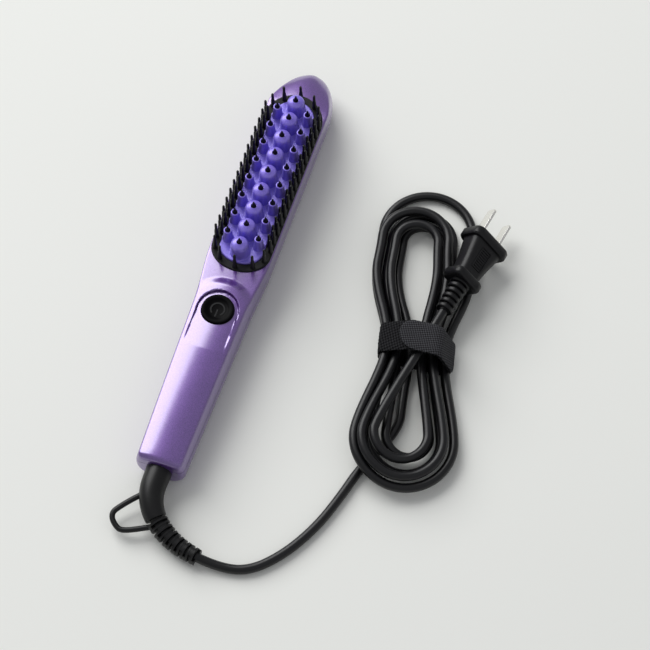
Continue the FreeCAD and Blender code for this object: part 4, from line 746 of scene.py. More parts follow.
# Casing
@dataclass
class Casing:
    """The two painted covers: one smooth form, parted along its sides."""

    end_y: float = -125.0
    button_y: float = -34.0
    head_y: float = 3.0
    nose_y: float = 98.0
    tip_y: float = 124.95
    end_half: float = 13.5
    grip_half: float = 15.7
    head_half: float = 17.3
    end_round: float = 3.2
    neck_taper: float = 0.9
    shoulder: float = 2.0
    rim: float = 0.3
    end_height: float = 22.0
    grip_height: float = 25.0
    deck_height: float = 23.4
    nose_height: float = 12.5
    grip_crown: float = 1.5
    deck_crown: float = 0.4
    nose_edge: float = 0.3
    nose_drop: float = 0.45
    waist_share: float = 0.45
    foot_share: float = 0.85
    low: float = -0.4
    parting: float = 14.5
    seam: float = 0.3
    hairline: float = 0.03
    wall: float = 2.0
    crease: Pair = (14.5, 20.0)
    recess_radius: float = 11.5
    recess_reach: float = 24.0
    recess_depth: float = 1.8
    recess_wall: float = 0.9
    groove: float = 0.6
    brow_round: float = 1.0
    brow_shares: Triple = (0.8, 0.62, 0.35)
    brow_steps: Triple = (0.25, 0.5, 0.75)
    bore: float = 9.0
    bore_floor: float = 17.0
    bore_sides: int = 96
    opening_floor: float = 18.0
    opening_sides: int = 64
    clear: float = 30.0
    mouth: float = 7.3
    mouth_height: float = 10.8
    mouth_run: Pair = (4.0, 1.0)
    across: int = 72
    flank_steps: int = 8
    margins: Pair = (4.0, 2.0)
    run_steps: tuple[int, int, int] = (20, 110, 32)
    end_steps: int = 6
    nose_steps: int = 22
    nose_turns: Pair = (4.0, 86.5)

    def trim(self, y: float) -> float:
        """How far the form is drawn in at its rounded end."""
        left = max(1 - (y - self.end_y) / self.end_round, 0.0)
        return self.end_round * (1 - math.sqrt(1 - left * left))

    def lean(self, y: float) -> float:
        """Share of the way along the nose."""
        return max((y - self.nose_y) / (self.tip_y - self.nose_y), 0.0)

    def rise(self, y: float) -> float:
        """Share of the head's section that is left along the nose."""
        return math.sqrt(1 - self.lean(y) ** 2)

    def grip_share(self, y: float) -> float:
        """Share of the way from the handle's end to the button."""
        start = self.end_y + self.end_round
        return clamped((y - start) / (self.button_y - start))

    def neck_share(self, y: float) -> float:
        """Share of the way from the button to the head."""
        return clamped((y - self.button_y) / (self.head_y - self.button_y))

    def half(self, y: float) -> float:
        """Half of the form's width."""
        neck = self.neck_share(y)
        wide = mix(self.end_half, self.grip_half, self.grip_share(y)) - self.trim(y)
        wide += (self.head_half - self.grip_half) * eased(neck) + self.neck_taper * neck * (1 - neck) ** 2
        return wide * self.rise(y)

    def edge(self, y: float) -> float:
        """Half of the top face's width."""
        inset = mix(self.shoulder, self.rim, eased(self.neck_share(y)))
        return self.half(y) * (1 - self.nose_edge * self.lean(y)) - inset * self.rise(y)

    def crowned(self, x: float, y: float) -> float:
        """Height of the top face without the thumb recess."""
        share = (x / self.edge(y)) ** 2
        along = self.grip_share(y)
        grip = mix(self.end_height, self.grip_height, along * (2 - along)) - self.trim(y) - self.grip_crown * share
        if y < self.button_y:
            return grip
        deck = mix(self.nose_height, self.deck_height, self.rise(y))
        drop = self.deck_crown * self.rise(y) + (deck - self.nose_height) * self.nose_drop * self.lean(y)
        near, far = self.crease
        away = math.hypot(x, y - self.button_y)
        return mix(grip, deck - drop * share, eased((away - near) / (far - near)))

    def face(self, x: float, y: float) -> float:
        """Height of the top face, with the recess whose floor sinks towards the head."""
        height = self.crowned(x, y)
        tail = self.button_y - self.recess_reach
        if y < tail or y > self.button_y + self.recess_radius:
            return height
        run = self.recess_reach + self.recess_radius
        line = mix(self.crowned(0, tail), self.grip_height - self.recess_depth, (y - tail) / run)
        floor = line - self.grip_crown * (x / self.edge(self.button_y)) ** 2
        away = math.hypot(x, y - self.button_y) if y > self.button_y else abs(x)
        inside = eased((self.recess_radius - away) / self.recess_wall)
        return mix(height, min(height, floor), inside)

    def flank(self, y: float) -> list[Pair]:
        """The right side from the foot up to the top face, as (x, z) pairs."""
        half = self.half(y)
        edge = self.edge(y)
        low = mix(self.nose_height, self.low, self.rise(y)) + self.trim(y)
        waist = mix(low, self.crowned(0, y), self.waist_share)
        top = self.crowned(edge, y)
        foot = half - (waist - low) * self.foot_share
        spots = []
        for reach, height, way in ((foot, low, -1), (edge, top, 1)):
            run = half - reach
            climb = abs(height - waist)
            radius = (run * run + climb * climb) / (2 * run)
            turn = math.atan2(climb, radius - run)
            for step in range(self.flank_steps + 1):
                angle = turn * (self.flank_steps - step if way < 0 else step) / self.flank_steps
                spots.append((half - radius * (1 - math.cos(angle)), waist + way * radius * math.sin(angle)))
        spots.pop(self.flank_steps)
        return spots[:-1] + self.brow(y, spots[-2], (edge, top))

    def brow(self, y: float, below: Pair, corner: Pair) -> list[Pair]:
        """The seam line high on the flank and the rounded shoulder over it.

        Args:
            y: Place along the brush.
            below: The flank's last point under the seam.
            corner: Where the flank and the top face would meet.

        Returns:
            The (x, z) pairs from the seam up to the top face.
        """
        low, high, foot = (between(corner, below, share) for share in self.brow_shares)
        x, z = between(low, high, 0.5)
        inner = corner[0] - self.brow_round * self.rise(y)
        end = (inner, self.crowned(inner, y))
        arc = [between(between(foot, corner, share), between(corner, end, share), share) for share in self.brow_steps]
        return [low, (x - self.groove * self.rise(y), z), high, foot, *arc]

    def row(self, y: float) -> list[Vector]:
        """Outline of the whole casing at one place along it."""
        right = self.flank(y)
        reach = self.edge(y) - self.brow_round * self.rise(y)
        steps = [reach * (1 - 2 * step / self.across) for step in range(self.across + 1)]
        top = [(x, self.face(x, y)) for x in steps]
        left = [(-x, z) for x, z in reversed(right)]
        return [Vector((x, y, max(z, 0.0))) for x, z in right + top + left]

    def places(self) -> list[float]:
        """Places of the outlines along the brush, close together round the button."""
        before, after = self.margins
        stops = (self.end_y + self.end_round, self.button_y - self.recess_reach - before,
                 self.button_y + self.crease[1] + after, self.nose_y)
        spots = [self.end_y + self.end_round * (1 - math.cos(turn)) for turn in arc_steps(0, 90, self.end_steps)]
        for first, last, count in zip(stops, stops[1:], self.run_steps):
            spots += [mix(first, last, step / count) for step in range(1, count + 1)]
        turns = arc_steps(*self.nose_turns, self.nose_steps)
        return spots + [mix(self.nose_y, self.tip_y, math.sin(turn)) for turn in turns]

    def tools(self, head: "Head") -> bpy.types.Mesh:
        """What is cut out of the covers: the button's bore, the frame's opening and the boot's mouth."""
        oval = []
        for turn in circle(self.opening_sides):
            depth, start = ((head.far_depth, head.frame_far - head.far_depth) if math.sin(turn) >= 0
                            else (head.near_depth, head.frame_near + head.near_depth))
            oval.append(Vector((head.frame_half * math.cos(turn), start + depth * math.sin(turn), 0)))
        opening = [[spot + UP * height for spot in oval] for height in (self.opening_floor, self.clear)]
        bore = moved([ring(self.bore, height, self.bore_sides) for height in (self.bore_floor, self.clear)],
                     Matrix.Translation((0, self.button_y, 0)))
        outside, inside = self.mouth_run
        mouth = [round_row(Vector((0, y, self.mouth_height)), ALONG, self.mouth, self.opening_sides)
                 for y in (self.end_y - outside, self.end_y + self.wall + inside)]
        return lofted("casing_tools", opening, bore, mouth)

    def skin(self, name: str) -> bpy.types.Mesh:
        """The whole form as one closed mesh."""
        return lofted(name, [self.row(y) for y in self.places()])

    def room(self) -> "Casing":
        """The form of the space inside the covers."""
        wall = self.wall
        return replace(self, end_y=self.end_y + wall, tip_y=self.tip_y - wall, end_half=self.end_half - wall,
                       grip_half=self.grip_half - wall, head_half=self.head_half - wall,
                       end_height=self.end_height - wall, grip_height=self.grip_height - wall * 2,
                       deck_height=self.deck_height - wall, low=self.low + wall, groove=self.hairline,
                       recess_radius=self.hairline)

    def cover(self, node: str, way: int, tools: Sequence[bpy.types.Mesh]) -> bpy.types.Object:
        """One cover as a shell.

        Args:
            node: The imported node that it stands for.
            way: 1 for the cover above the parting, -1 for the one below.
            tools: What is cut out of it, one after another.

        Returns:
            The finished cover.
        """
        work = bmesh.new()
        work.from_mesh(self.skin(node))
        bmesh.ops.recalc_face_normals(work, faces=work.faces)
        level = (self.parting + way * self.seam / 2) * MM
        cut = bmesh.ops.bisect_plane(work, geom=[*work.verts, *work.edges, *work.faces], plane_co=(0, 0, level),
                                     plane_no=(0, 0, 1), clear_inner=way > 0, clear_outer=way < 0)
        rim = [edge for edge in cut["geom_cut"] if isinstance(edge, bmesh.types.BMEdge)]
        bmesh.ops.edgeloop_fill(work, edges=rim)
        bmesh.ops.recalc_face_normals(work, faces=work.faces)
        mesh = bpy.data.meshes.new(f"{node}_fine")
        work.to_mesh(mesh)
        work.free()
        piece = new_piece(f"{node}_fine", mesh, Look.SHELL)
        for tool in tools:
            carved(piece, tool)
        return stand_in(piece, Body.BRUSH, "shell", node)

    def build(self, head: "Head") -> None:
        """Make both covers."""
        tools = [self.room().skin("casing_room"), self.tools(head)]
        for node, way in (("top_cover", 1), ("back_cover", -1)):
            self.cover(node, way, tools)


# Head
@dataclass(frozen=True)
class Post:
    """One kind of heat post.

    The radius is at the root and the height at the rim round the seat. The waist is the share of the radius left at
    the top of the wall, and shoulder and cone are the shares of the height where the shoulder starts and that the low
    cone takes.
    """

    kind: str
    offsets: tuple[float, ...]
    count: int
    radius: float
    height: float
    waist: float
    shoulder: float
    cone: float
    sides: int


@dataclass
class Head:
    """Heat posts with their tips and the bristles round them."""

    middle: float = 47.5
    post_pitch: float = 11.5
    kinds: tuple[Post, ...] = (Post("centre", (0.0,), 9, 5.1, 11.0, 0.97, 0.56, 0.09, 48),
                               Post("side", (-8.6, 8.6), 8, 2.9, 9.2, 0.76, 0.95, 0.012, 32))
    root_round: float = 0.5
    root_steps: int = 4
    shoulder_turn: float = 78.0
    shoulder_steps: int = 7
    shoulder_share: float = 0.6
    cone_steps: Triple = (0.25, 0.6, 1.0)
    cone_swell: float = 0.8
    seat_radius: float = 1.5
    seat_depth: float = 1.6
    seat_rim: float = 0.2
    seat_ease: float = 0.1
    tip_radius: float = 0.85
    tip_reach: float = 3.9
    tip_foot: Pair = (0.05, 0.5)
    tip_shares: tuple[Pair, ...] = ((1.0, -0.2), (1.0, 0.2), (0.9, 0.45), (0.55, 0.85), (0.3, 0.97), (0.1, 1.0))
    tip_sides: int = 16
    bristle_shares: tuple[Pair, ...] = (
        (1.2, 0.0), (1.0, 0.04), (0.94, 0.48), (0.72, 0.54), (0.64, 0.95), (0.5, 0.99), (0.2, 1.0))
    bristle_sides: int = 10
    bristle_pitch: float = 5.75
    bristle_radius: float = 1.15
    bristle_height: float = 12.6
    bristle_rows: tuple[tuple[str, int, float], ...] = (("outer", 15, 15.15), ("inner", 14, 13.35))
    frame_half: float = 16.4
    frame_near: float = -9.3
    frame_far: float = 104.3
    near_depth: float = 13.0
    far_depth: float = 17.5
    end_inset: float = 2.1
    near_turns: tuple[int, ...] = (-74, -40, 0, 40, 74)
    far_turns: tuple[int, ...] = (-66, -37, 0, 37, 66)
    bristle_lean: float = 0.02
    stand: StandTree = field(default_factory=StandTree)

    def row(self, count: int, pitch: float, offset: float, height: float) -> list[Vector]:
        """Evenly spaced places along the brush about the head's middle."""
        steps = [pitch * (index - (count - 1) / 2) for index in range(count)]
        return [Vector((offset, self.middle + step, height)) for step in steps]

    def post_profile(self, post: Post) -> Profile:
        """Outline of a post: a rounded root, a tapering wall, a rounded shoulder, a low cone and a tip's seat.

        Args:
            post: The kind of post.

        Returns:
            (radius, height) pairs that go up and then down into the seat.
        """
        sweep = self.root_round
        outline = [(post.radius + sweep * (1 - math.sin(turn)), sweep * (1 - math.cos(turn)))
                   for turn in arc_steps(0, 90, self.root_steps)]
        top = post.radius * post.waist
        rim = self.seat_radius + self.seat_rim
        inner = mix(rim, top, self.shoulder_share)
        ledge = 1 - post.cone
        for turn in arc_steps(0, self.shoulder_turn, self.shoulder_steps):
            reach = inner + (top - inner) * math.cos(turn)
            outline.append((reach, post.height * mix(post.shoulder, ledge, math.sin(turn))))
        for share in self.cone_steps:
            outline.append((mix(inner, rim, share), post.height * mix(ledge, 1.0, share ** self.cone_swell)))
        outline.append((self.seat_radius, post.height - self.seat_ease))
        outline.append((self.seat_radius - self.seat_ease, post.height - self.seat_depth))
        return outline

    def tip_profile(self) -> Profile:
        """Outline of a tip: a foot low in the seat, and the point that stands out of it."""
        inset, rise = self.tip_foot
        foot = [(self.seat_radius, -self.seat_depth), (self.seat_radius - inset, -self.seat_depth + rise)]
        return foot + [(self.tip_radius * wide, self.tip_reach * tall) for wide, tall in self.tip_shares]

    def bristle_profile(self) -> Profile:
        """Outline of a bristle: a stout root, a step and a slim point."""
        return [(self.bristle_radius * wide, self.bristle_height * tall) for wide, tall in self.bristle_shares]

    def end_spots(self, top: float) -> list[Vector]:
        """Places of the bristles round the two ends of the frame, at the height of its face."""
        half = self.frame_half - self.end_inset
        ends = ((self.frame_far - self.far_depth, self.far_depth - self.end_inset, self.far_turns),
                (self.frame_near + self.near_depth, self.end_inset - self.near_depth, self.near_turns))
        return [Vector((half * math.sin(turn), start + reach * math.cos(turn), top))
                for start, reach, turns in ends for turn in map(math.radians, turns)]

    def posts(self) -> None:
        """Centre and side posts, and the tips in them."""
        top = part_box("heater_plate")[1].z / MM
        for post in self.kinds:
            spots = [spot for offset in post.offsets for spot in self.row(post.count, self.post_pitch, offset, top)]
            pattern = lofted(f"{post.kind}_post", lathe(self.post_profile(post), post.sides))
            piece = self.stand.grow(f"{post.kind}_posts", point_carrier(spots), pattern, Look.PLATE, Seed=1)
            stand_in(piece, Body.BRUSH, "plate", f"{post.kind}_heat_posts")
            tip = lofted(f"{post.kind}_tip", lathe(self.tip_profile(), self.tip_sides))
            raised = [spot + UP * post.height for spot in spots]
            piece = self.stand.grow(f"{post.kind}_tips", point_carrier(raised), tip, Look.BLACK_PLASTIC, Seed=2)
            stand_in(piece, Body.BRUSH, "bristle", f"{post.kind}_post_tips")

    def bristles(self) -> None:
        """Rows along the sides and arcs round the ends."""
        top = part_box("bristle_frame")[1].z / MM
        rows = {"end_bristles": self.end_spots(top)}
        for side, hand in (("left", -1), ("right", 1)):
            for place, count, offset in self.bristle_rows:
                rows[f"{side}_{place}_bristles"] = self.row(count, self.bristle_pitch, hand * offset, top)
        for seed, (node, spots) in enumerate(rows.items()):
            pattern = lofted(node, lathe(self.bristle_profile(), self.bristle_sides))
            piece = self.stand.grow(f"{node}_fine", point_carrier(spots), pattern, Look.BRISTLE,
                                    Seed=seed, Lean=self.bristle_lean)
            stand_in(piece, Body.BRUSH, "bristle", node)

    def build(self) -> None:
        """Make every piece of the head."""
        self.posts()
        self.bristles()


# Button
@dataclass
class PowerButton:
    """Round dished button with a plain on/off sign."""

    y: float = -34.0
    radius: float = 8.7
    stem: float = 2.2
    ledge: float = 1.7
    flange: float = 1.2
    dish_share: float = 0.66
    dish_steps: tuple[float, ...] = (0.75, 0.5, 0.25, 0.0)
    rim_round: float = 0.5
    rim_steps: int = 5
    lip: float = 0.3
    lip_share: float = 0.5
    dish: float = 0.9
    dish_bowl: float = 0.5
    sign_radius: float = 3.6
    sign_width: float = 0.75
    sign_rise: float = 0.1
    sign_sink: float = 0.4
    sign_gap: float = 40.0
    sign_steps: int = 40
    bar: float = 4.6
    bar_steps: int = 6
    sides: int = 96

    def depth(self, share: float) -> float:
        """Depth of the dish's floor at a share of its radius."""
        return self.dish * (1 - self.dish_bowl * share * share)

    def cap(self) -> bpy.types.Object:
        """Cap with a rounded rim, a sloping ring and a dished middle, over its hidden flange and stem."""
        low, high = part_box("power_button")
        top = high.z / MM
        foot = low.z / MM
        flange = (high.x - low.x) / MM / 2
        ledge = foot + self.ledge
        edge = top - self.rim_round * 2
        dish = self.radius * self.dish_share
        profile = [(self.stem, foot), (self.stem, ledge - self.flange), (flange, ledge - self.flange),
                   (flange, ledge), (self.radius, ledge), (self.radius, edge)]
        for turn in arc_steps(0, 90, self.rim_steps):
            reach = self.radius - self.rim_round * (1 - math.cos(turn))
            profile.append((reach, edge + self.rim_round * 2 * math.sin(turn)))
        for turn in arc_steps(90, 0, self.rim_steps):
            height = mix(top - self.dish / 2, top, math.sin(turn) * self.lip_share)
            profile.append((dish + self.lip * math.sin(turn), height))
        profile += [(dish * share, top - self.depth(share)) for share in self.dish_steps]
        rows = moved(lathe(profile, self.sides), Matrix.Translation((0, self.y, 0)))
        return new_piece("button_cap_fine", lofted("button_cap", rows), Look.BUTTON)

    def floor(self, x: float, y: float) -> Vector:
        """Point on the dish's floor, from the button's centre."""
        share = math.hypot(x, y) / (self.radius * self.dish_share)
        return Vector((x, self.y + y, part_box("power_button")[1].z / MM - self.depth(share)))

    def strip(self, path: Sequence[Vector]) -> Rows:
        """Flat raised strip of the sign along a path."""
        rows = []
        for index, spot in enumerate(path):
            ahead = heading(path, index)
            across = Vector((ahead.y, -ahead.x, 0)).normalized() * (self.sign_width / 2)
            rows.append([spot + across * side + UP * height for side, height in (
                (1, -self.sign_sink), (1, self.sign_rise), (-1, self.sign_rise), (-1, -self.sign_sink))])
        return rows

    def sign(self) -> bpy.types.Object:
        """Open ring and bar of the on/off sign, on the floor of the dish."""
        turns = arc_steps(-90 + self.sign_gap, 270 - self.sign_gap, self.sign_steps)
        arc = [self.floor(math.cos(turn) * self.sign_radius, math.sin(turn) * self.sign_radius) for turn in turns]
        bar = [self.floor(0, -self.bar * step / self.bar_steps) for step in range(self.bar_steps + 1)]
        return new_piece("button_sign_fine", lofted("button_sign", self.strip(arc), self.strip(bar)), Look.SIGN)

    def build(self) -> None:
        """Make the cap and its sign."""
        stand_in(self.cap(), Body.BUTTON, "button", "power_button")
        stand_in(self.sign(), Body.BUTTON, "button")


# Ribs
@dataclass(frozen=True)
class Ribs:
    """Ribs of a strain relief: discs with rounded edges, each joined to the next by two bridges."""

    fill: float = 0.62
    edge_share: float = 0.2
    edge_radius: float = 0.92
    bridge_turn: float = 60.0
    bridge_radius: float = 0.96
    bridge_depth: float = 0.5
    bridge_steps: int = 8
    turn: float = math.pi / 2
    sides: int = 40

    def pattern(self, pitch: float) -> bpy.types.Mesh:
        """One rib of unit radius with its two bridges."""
        half = pitch * self.fill / 2
        flat = half - pitch * self.fill * self.edge_share
        profile = [(self.edge_radius, -half), (1.0, -flat), (1.0, flat), (self.edge_radius, half)]
        groups = [lathe(profile, self.sides)]
        for side in (0, 180):
            turns = arc_steps(side - self.bridge_turn / 2, side + self.bridge_turn / 2, self.bridge_steps)
            outer = [Vector((math.cos(turn), math.sin(turn), 0)) * self.bridge_radius for turn in turns]
            inner = [spot * self.bridge_depth for spot in reversed(outer)]
            groups.append([[spot + UP * height for spot in outer + inner] for height in (flat, pitch - flat)])
        return lofted("rib", *groups)

    def along(self, name: str, line: Sequence[Vector], count: int, first: float, last: float,
              look: Look) -> bpy.types.Object:
        """Ribs at even steps along a line.

        Args:
            name: Name of the piece.
            line: Points along the relief's middle.
            count: How many ribs there are.
            first: Radius of the first rib.
            last: Radius of the last rib.
            look: Finish of the piece.

        Returns:
            The ribs as one mesh.
        """
        quarters = even_points(line, count * 4)
        path = curve_object("path", "POLY", "Z_UP", quarters[2:-1])
        rib = self.pattern(length_of(line) / count)
        return PathTree().grow(name, path, rib, look, Count=count, First=first, Last=last, Turn=self.turn)


# Boot
@dataclass
class CordBoot:
    """Bent strain relief at the handle's end, with its ribs and hang loop."""

    root: Triple = (0.0, -122.6, 10.8)
    bend: Triple = (0.0, -132.0, 10.8)
    end: Triple = (28.5, -160.6, 5.0)
    end_heading: float = -13.0
    end_run: float = 4.0
    pull_first: float = 16.0
    pull_last: float = 15.5
    root_radius: float = 7.0
    middle_radius: float = 5.7
    tip_radius: float = 4.6
    taper: float = 1.5
    rib_share: float = 0.5
    ribs: int = 11
    core_share: float = 0.62
    step_rings: tuple[Pair, ...] = ((0.3, 0.97), (0.35, 0.62))
    inner_rods: tuple[Triple, ...] = ((8.4, -122.6, -119.8), (5.0, -119.8, -108.6))
    loop_points: tuple[Triple, ...] = (
        (-0.9, -136.2, 9.2), (-7.2, -142.0, 8.2), (-13.6, -149.4, 7.0), (-15.6, -152.6, 6.4), (-14.6, -155.8, 5.8),
        (-11.6, -158.6, 5.3), (-8.6, -160.0, 5.1), (-3.6, -158.4, 5.3), (4.0, -154.6, 5.8), (11.0, -151.4, 6.2))
    loop_rod: float = 3.0
    sides: int = 40
    root_steps: int = 8
    bend_steps: int = 40
    steps: int = 48

    def way(self) -> Vector:
        """Direction in which the cord leaves the boot."""
        turn = math.radians(self.end_heading)
        return Vector((math.cos(turn), math.sin(turn), 0))

    def exit(self) -> Vector:
        """Point where the cord leaves the boot."""
        return Vector(self.end) + self.way() * self.end_run

    def track(self) -> list[Vector]:
        """Evenly spaced points along the boot's middle."""
        root, bend, end = map(Vector, (self.root, self.bend, self.end))
        pulled = (bend, bend - ALONG * self.pull_first, end - self.way() * self.pull_last, end)
        knots = [root.lerp(bend, step / self.root_steps) for step in range(self.root_steps)]
        for step in range(self.bend_steps + 1):
            level = pulled
            while len(level) > 1:
                level = [one.lerp(two, step / self.bend_steps) for one, two in zip(level, level[1:])]
            knots += level
        return even_points([*knots, self.exit()], self.steps)

    def radius(self, share: float) -> float:
        """Radius of the boot at a share of its length."""
        if share <= self.rib_share:
            return mix(self.root_radius, self.middle_radius, (share / self.rib_share) ** self.taper)
        return mix(self.middle_radius, self.tip_radius, (share - self.rib_share) / (1 - self.rib_share))

    def rings(self) -> Rows:
        """Rings of the plain root and of the slim core inside the ribs."""
        track = self.track()
        last = len(track) - 1
        rows = []
        for index, spot in enumerate(track):
            share = index / last
            radius = self.radius(share)
            ahead = heading(track, index)
            slim = self.core_share if share > self.rib_share else 1.0
            rows.append(round_row(spot, ahead, radius * slim, self.sides))
            if share <= self.rib_share < (index + 1) / last:
                rows += [round_row(spot + ahead.normalized() * reach, ahead, radius * wide, self.sides)
                         for reach, wide in self.step_rings]
        return rows

    def hang_loop(self) -> bpy.types.Object:
        """Round rod of the hang loop, as a mesh."""
        source = spline_object("loop_rod", [Vector(point) for point in self.loop_points], self.loop_rod)
        mesh = evaluated(source)
        bpy.data.objects.remove(source)
        return new_piece("loop_rod_fine", smoothed(mesh), Look.BOOT)

    def build(self) -> list[bpy.types.Object]:
        """Make the boot, its ribs and the hang loop.

        Returns:
            The pieces that go with the cord.
        """
        inner = [[round_row(Vector((0, y, self.root[2])), -ALONG, radius, self.sides) for y in (far, near)]
                 for radius, near, far in self.inner_rods]
        core = new_piece("boot_core", lofted("boot_core", self.rings(), *inner), Look.BOOT)
        stand_in(core, Body.CORD_SET, "cord_rubber", "cord_boot")
        ribbed = self.track()[int(self.rib_share * self.steps) + 1:]
        ribs = Ribs().along("boot_ribs", ribbed, self.ribs, self.middle_radius, self.tip_radius, Look.BOOT)
        stand_in(ribs, Body.CORD_SET, "cord_rubber")
        loop = self.hang_loop()
        stand_in(loop, Body.CORD_SET, "cord_rubber", "hang_loop")
        return [core, ribs, loop]


# Cord
@dataclass(frozen=True)
class Turn:
    """One turn of the hank: its strands' places in the tie and the sizes of its two loops."""

    left: Place
    right: Place
    upper_ring: float
    upper_shift: float
    upper_reach: float
    upper_layer: int
    lower_ring: float
    lower_shift: float
    lower_reach: float
    lower_height: float
    hump_height: float


@dataclass
class Cord:
    """Mains cord: a free lead, then a hank of turns that pass through the tie, up to the plug."""

    diameter: float = 5.0
    floor: float = 2.6
    lead: tuple[Pair, ...] = ((44.5, -162.6), (60.5, -159.6), (74.5, -145.2), (85.2, -126.0), (91.8, -105.8))
    entry: tuple[Pair, ...] = ((-22.0, -68.5), (-4.3, -45.0), (-4.3, -28.0))
    hank: Triple = (103.3, -15.2, 0.0)
    hank_turn: float = 12.3
    strand_step: float = 6.1
    waist_height: float = 4.7
    layer: float = 5.6
    upper_layer: float = 6.2
    grip: float = 9.0
    inner_upper: float = 10.8
    inner_lower: float = 11.4
    belly: float = 40.0
    belly_bulge: float = 1.2
    belly_share: float = 0.6
    upper_step: float = 5.6
    lower_step: float = 7.0
    upper_centre: Pair = (-2.016, 66.5)
    lower_centre: Pair = (-1.5, -53.0)
    loop_lift: float = 0.4
    fall_share: float = 0.7
    climb_shares: tuple[float, ...] = (0.0, 0.0, 0.0, 0.2, 0.75, 1.0, 1.0)
    corner: int = 30
    plug_end: Triple = (12.5, 18.5, 18.0)
    plug_heading: float = 22.5
    plug_pitch: float = 3.8
    plug_run: float = 20.0
    length: float = 1957.0
    turns: tuple[Turn, ...] = (
        Turn((0, 0), (0, 0), 0.0, 0.0, -1.0, 0, 0.0, 1.84, 2.5, 5.4, 9.0),
        Turn((1, 0), (1, 0), 1.01, -0.16, 0.0, 0, 1.03, 0.5, 0.5, 4.6, 9.0),
        Turn((2, 0), (2, 0), 2.38, 2.2, 5.0, 0, 2.09, 0.26, -0.5, 5.96, 12.4),
        Turn((2, 1), (1, 1), 1.26, -4.15, -2.0, 1, 1.4, -0.45, -0.7, 10.2, 15.8),
        Turn((1, 1), (0, 1), 0.1, -3.1, -3.4, 1, 0.37, -1.6, 1.2, 11.6, 15.8),
    )

    def frame(self) -> Matrix:
        """Where the hank's own frame lies."""
        return Matrix.Translation(self.hank) @ Matrix.Rotation(math.radians(self.hank_turn), 4, "Z")

    def plug_way(self) -> Vector:
        """Direction of the plug in the hank's frame."""
        turn = math.radians(self.plug_heading)
        dip = math.radians(self.plug_pitch)
        return Vector((math.sin(turn) * math.cos(dip), math.cos(turn) * math.cos(dip), -math.sin(dip)))

    def waist(self, place: Place) -> float:
        """Height of a strand in the tie."""
        return self.waist_height + place[1] * self.layer

    def strand(self, side: int, place: Place) -> list[Vector]:
        """Two points of a strand, one at each edge of the tie."""
        x = side * (0.5 + place[0]) * self.strand_step
        return [Vector((x, way * side * self.grip, self.waist(place))) for way in (1, -1)]

    def spread(self, radius: float) -> float:
        """Distance of the control points that hold a loop of a radius."""
        return radius / math.cos(math.radians(self.corner / 2))

    def upper_loop(self, turn: Turn) -> list[Vector]:
        """Points round a loop on the plug's side of the tie."""
        radius = self.spread(self.inner_upper + self.upper_step * turn.upper_ring)
        centre = Vector((self.upper_centre[0] + turn.upper_shift, self.upper_centre[1] + turn.upper_reach, 0))
        height = self.floor + self.upper_layer * turn.upper_layer
        first = 180 + self.corner // 2
        bellies = [Vector((centre.x + side * (radius + self.belly_bulge), self.belly,
                           mix(self.waist(place), height, self.belly_share)))
                   for side, place in ((-1, turn.left), (1, turn.right))]
        loop = []
        for angle in range(first, -self.corner, -self.corner):
            lift = self.loop_lift if angle in (first, -self.corner // 2) else 0.0
            ahead = Vector((math.cos(math.radians(angle)), math.sin(math.radians(angle)), 0)) * radius
            loop.append(centre + ahead + UP * (height + lift))
        return [bellies[0], *loop, bellies[1]]

    def lower_loop(self, turn: Turn) -> list[Vector]:
        """Points round a loop on the lead's side, rising to a hump over the lead."""
        radius = self.spread(self.inner_lower + self.lower_step * turn.lower_ring)
        low = turn.lower_height
        heights = [mix(self.waist(turn.right), low, self.fall_share),
                   *(mix(low, turn.hump_height, share) for share in self.climb_shares)]
        spots = []
        for index, height in enumerate(heights):
            angle = math.radians(self.corner / 2 - self.corner * index)
            spots.append(Vector((self.lower_centre[0] + turn.lower_shift + radius * math.cos(angle),
                                 self.lower_centre[1] + turn.lower_reach + radius * math.sin(angle), height)))
        return spots

    def points(self, start: Vector) -> list[Vector]:
        """Control points of the whole cord.

        Args:
            start: Where the cord leaves the boot.

        Returns:
            The points in millimetres.
        """
        lead, local = ([Vector((x, y, self.floor)) for x, y in run] for run in (self.lead, self.entry))
        for turn in self.turns:
            local += self.strand(-1, turn.left) + self.upper_loop(turn)
            local += self.strand(1, turn.right) + self.lower_loop(turn)
        end = Vector(self.plug_end)
        local += [end - self.plug_way() * self.plug_run, end]
        place = self.frame()
        return [start, *lead, *(place @ spot for spot in local)]

    def build(self, boot: CordBoot) -> bpy.types.Object:
        """Make the cord from the boot to the plug."""
        cord = spline_object("mains_cord", self.points(boot.exit()), self.diameter)
        cord.data.materials.append(Look.CORD_RUBBER.value.material())
        return stand_in(cord, Body.CORD_SET, "cord_rubber", "cord_lead", "cord_hank")


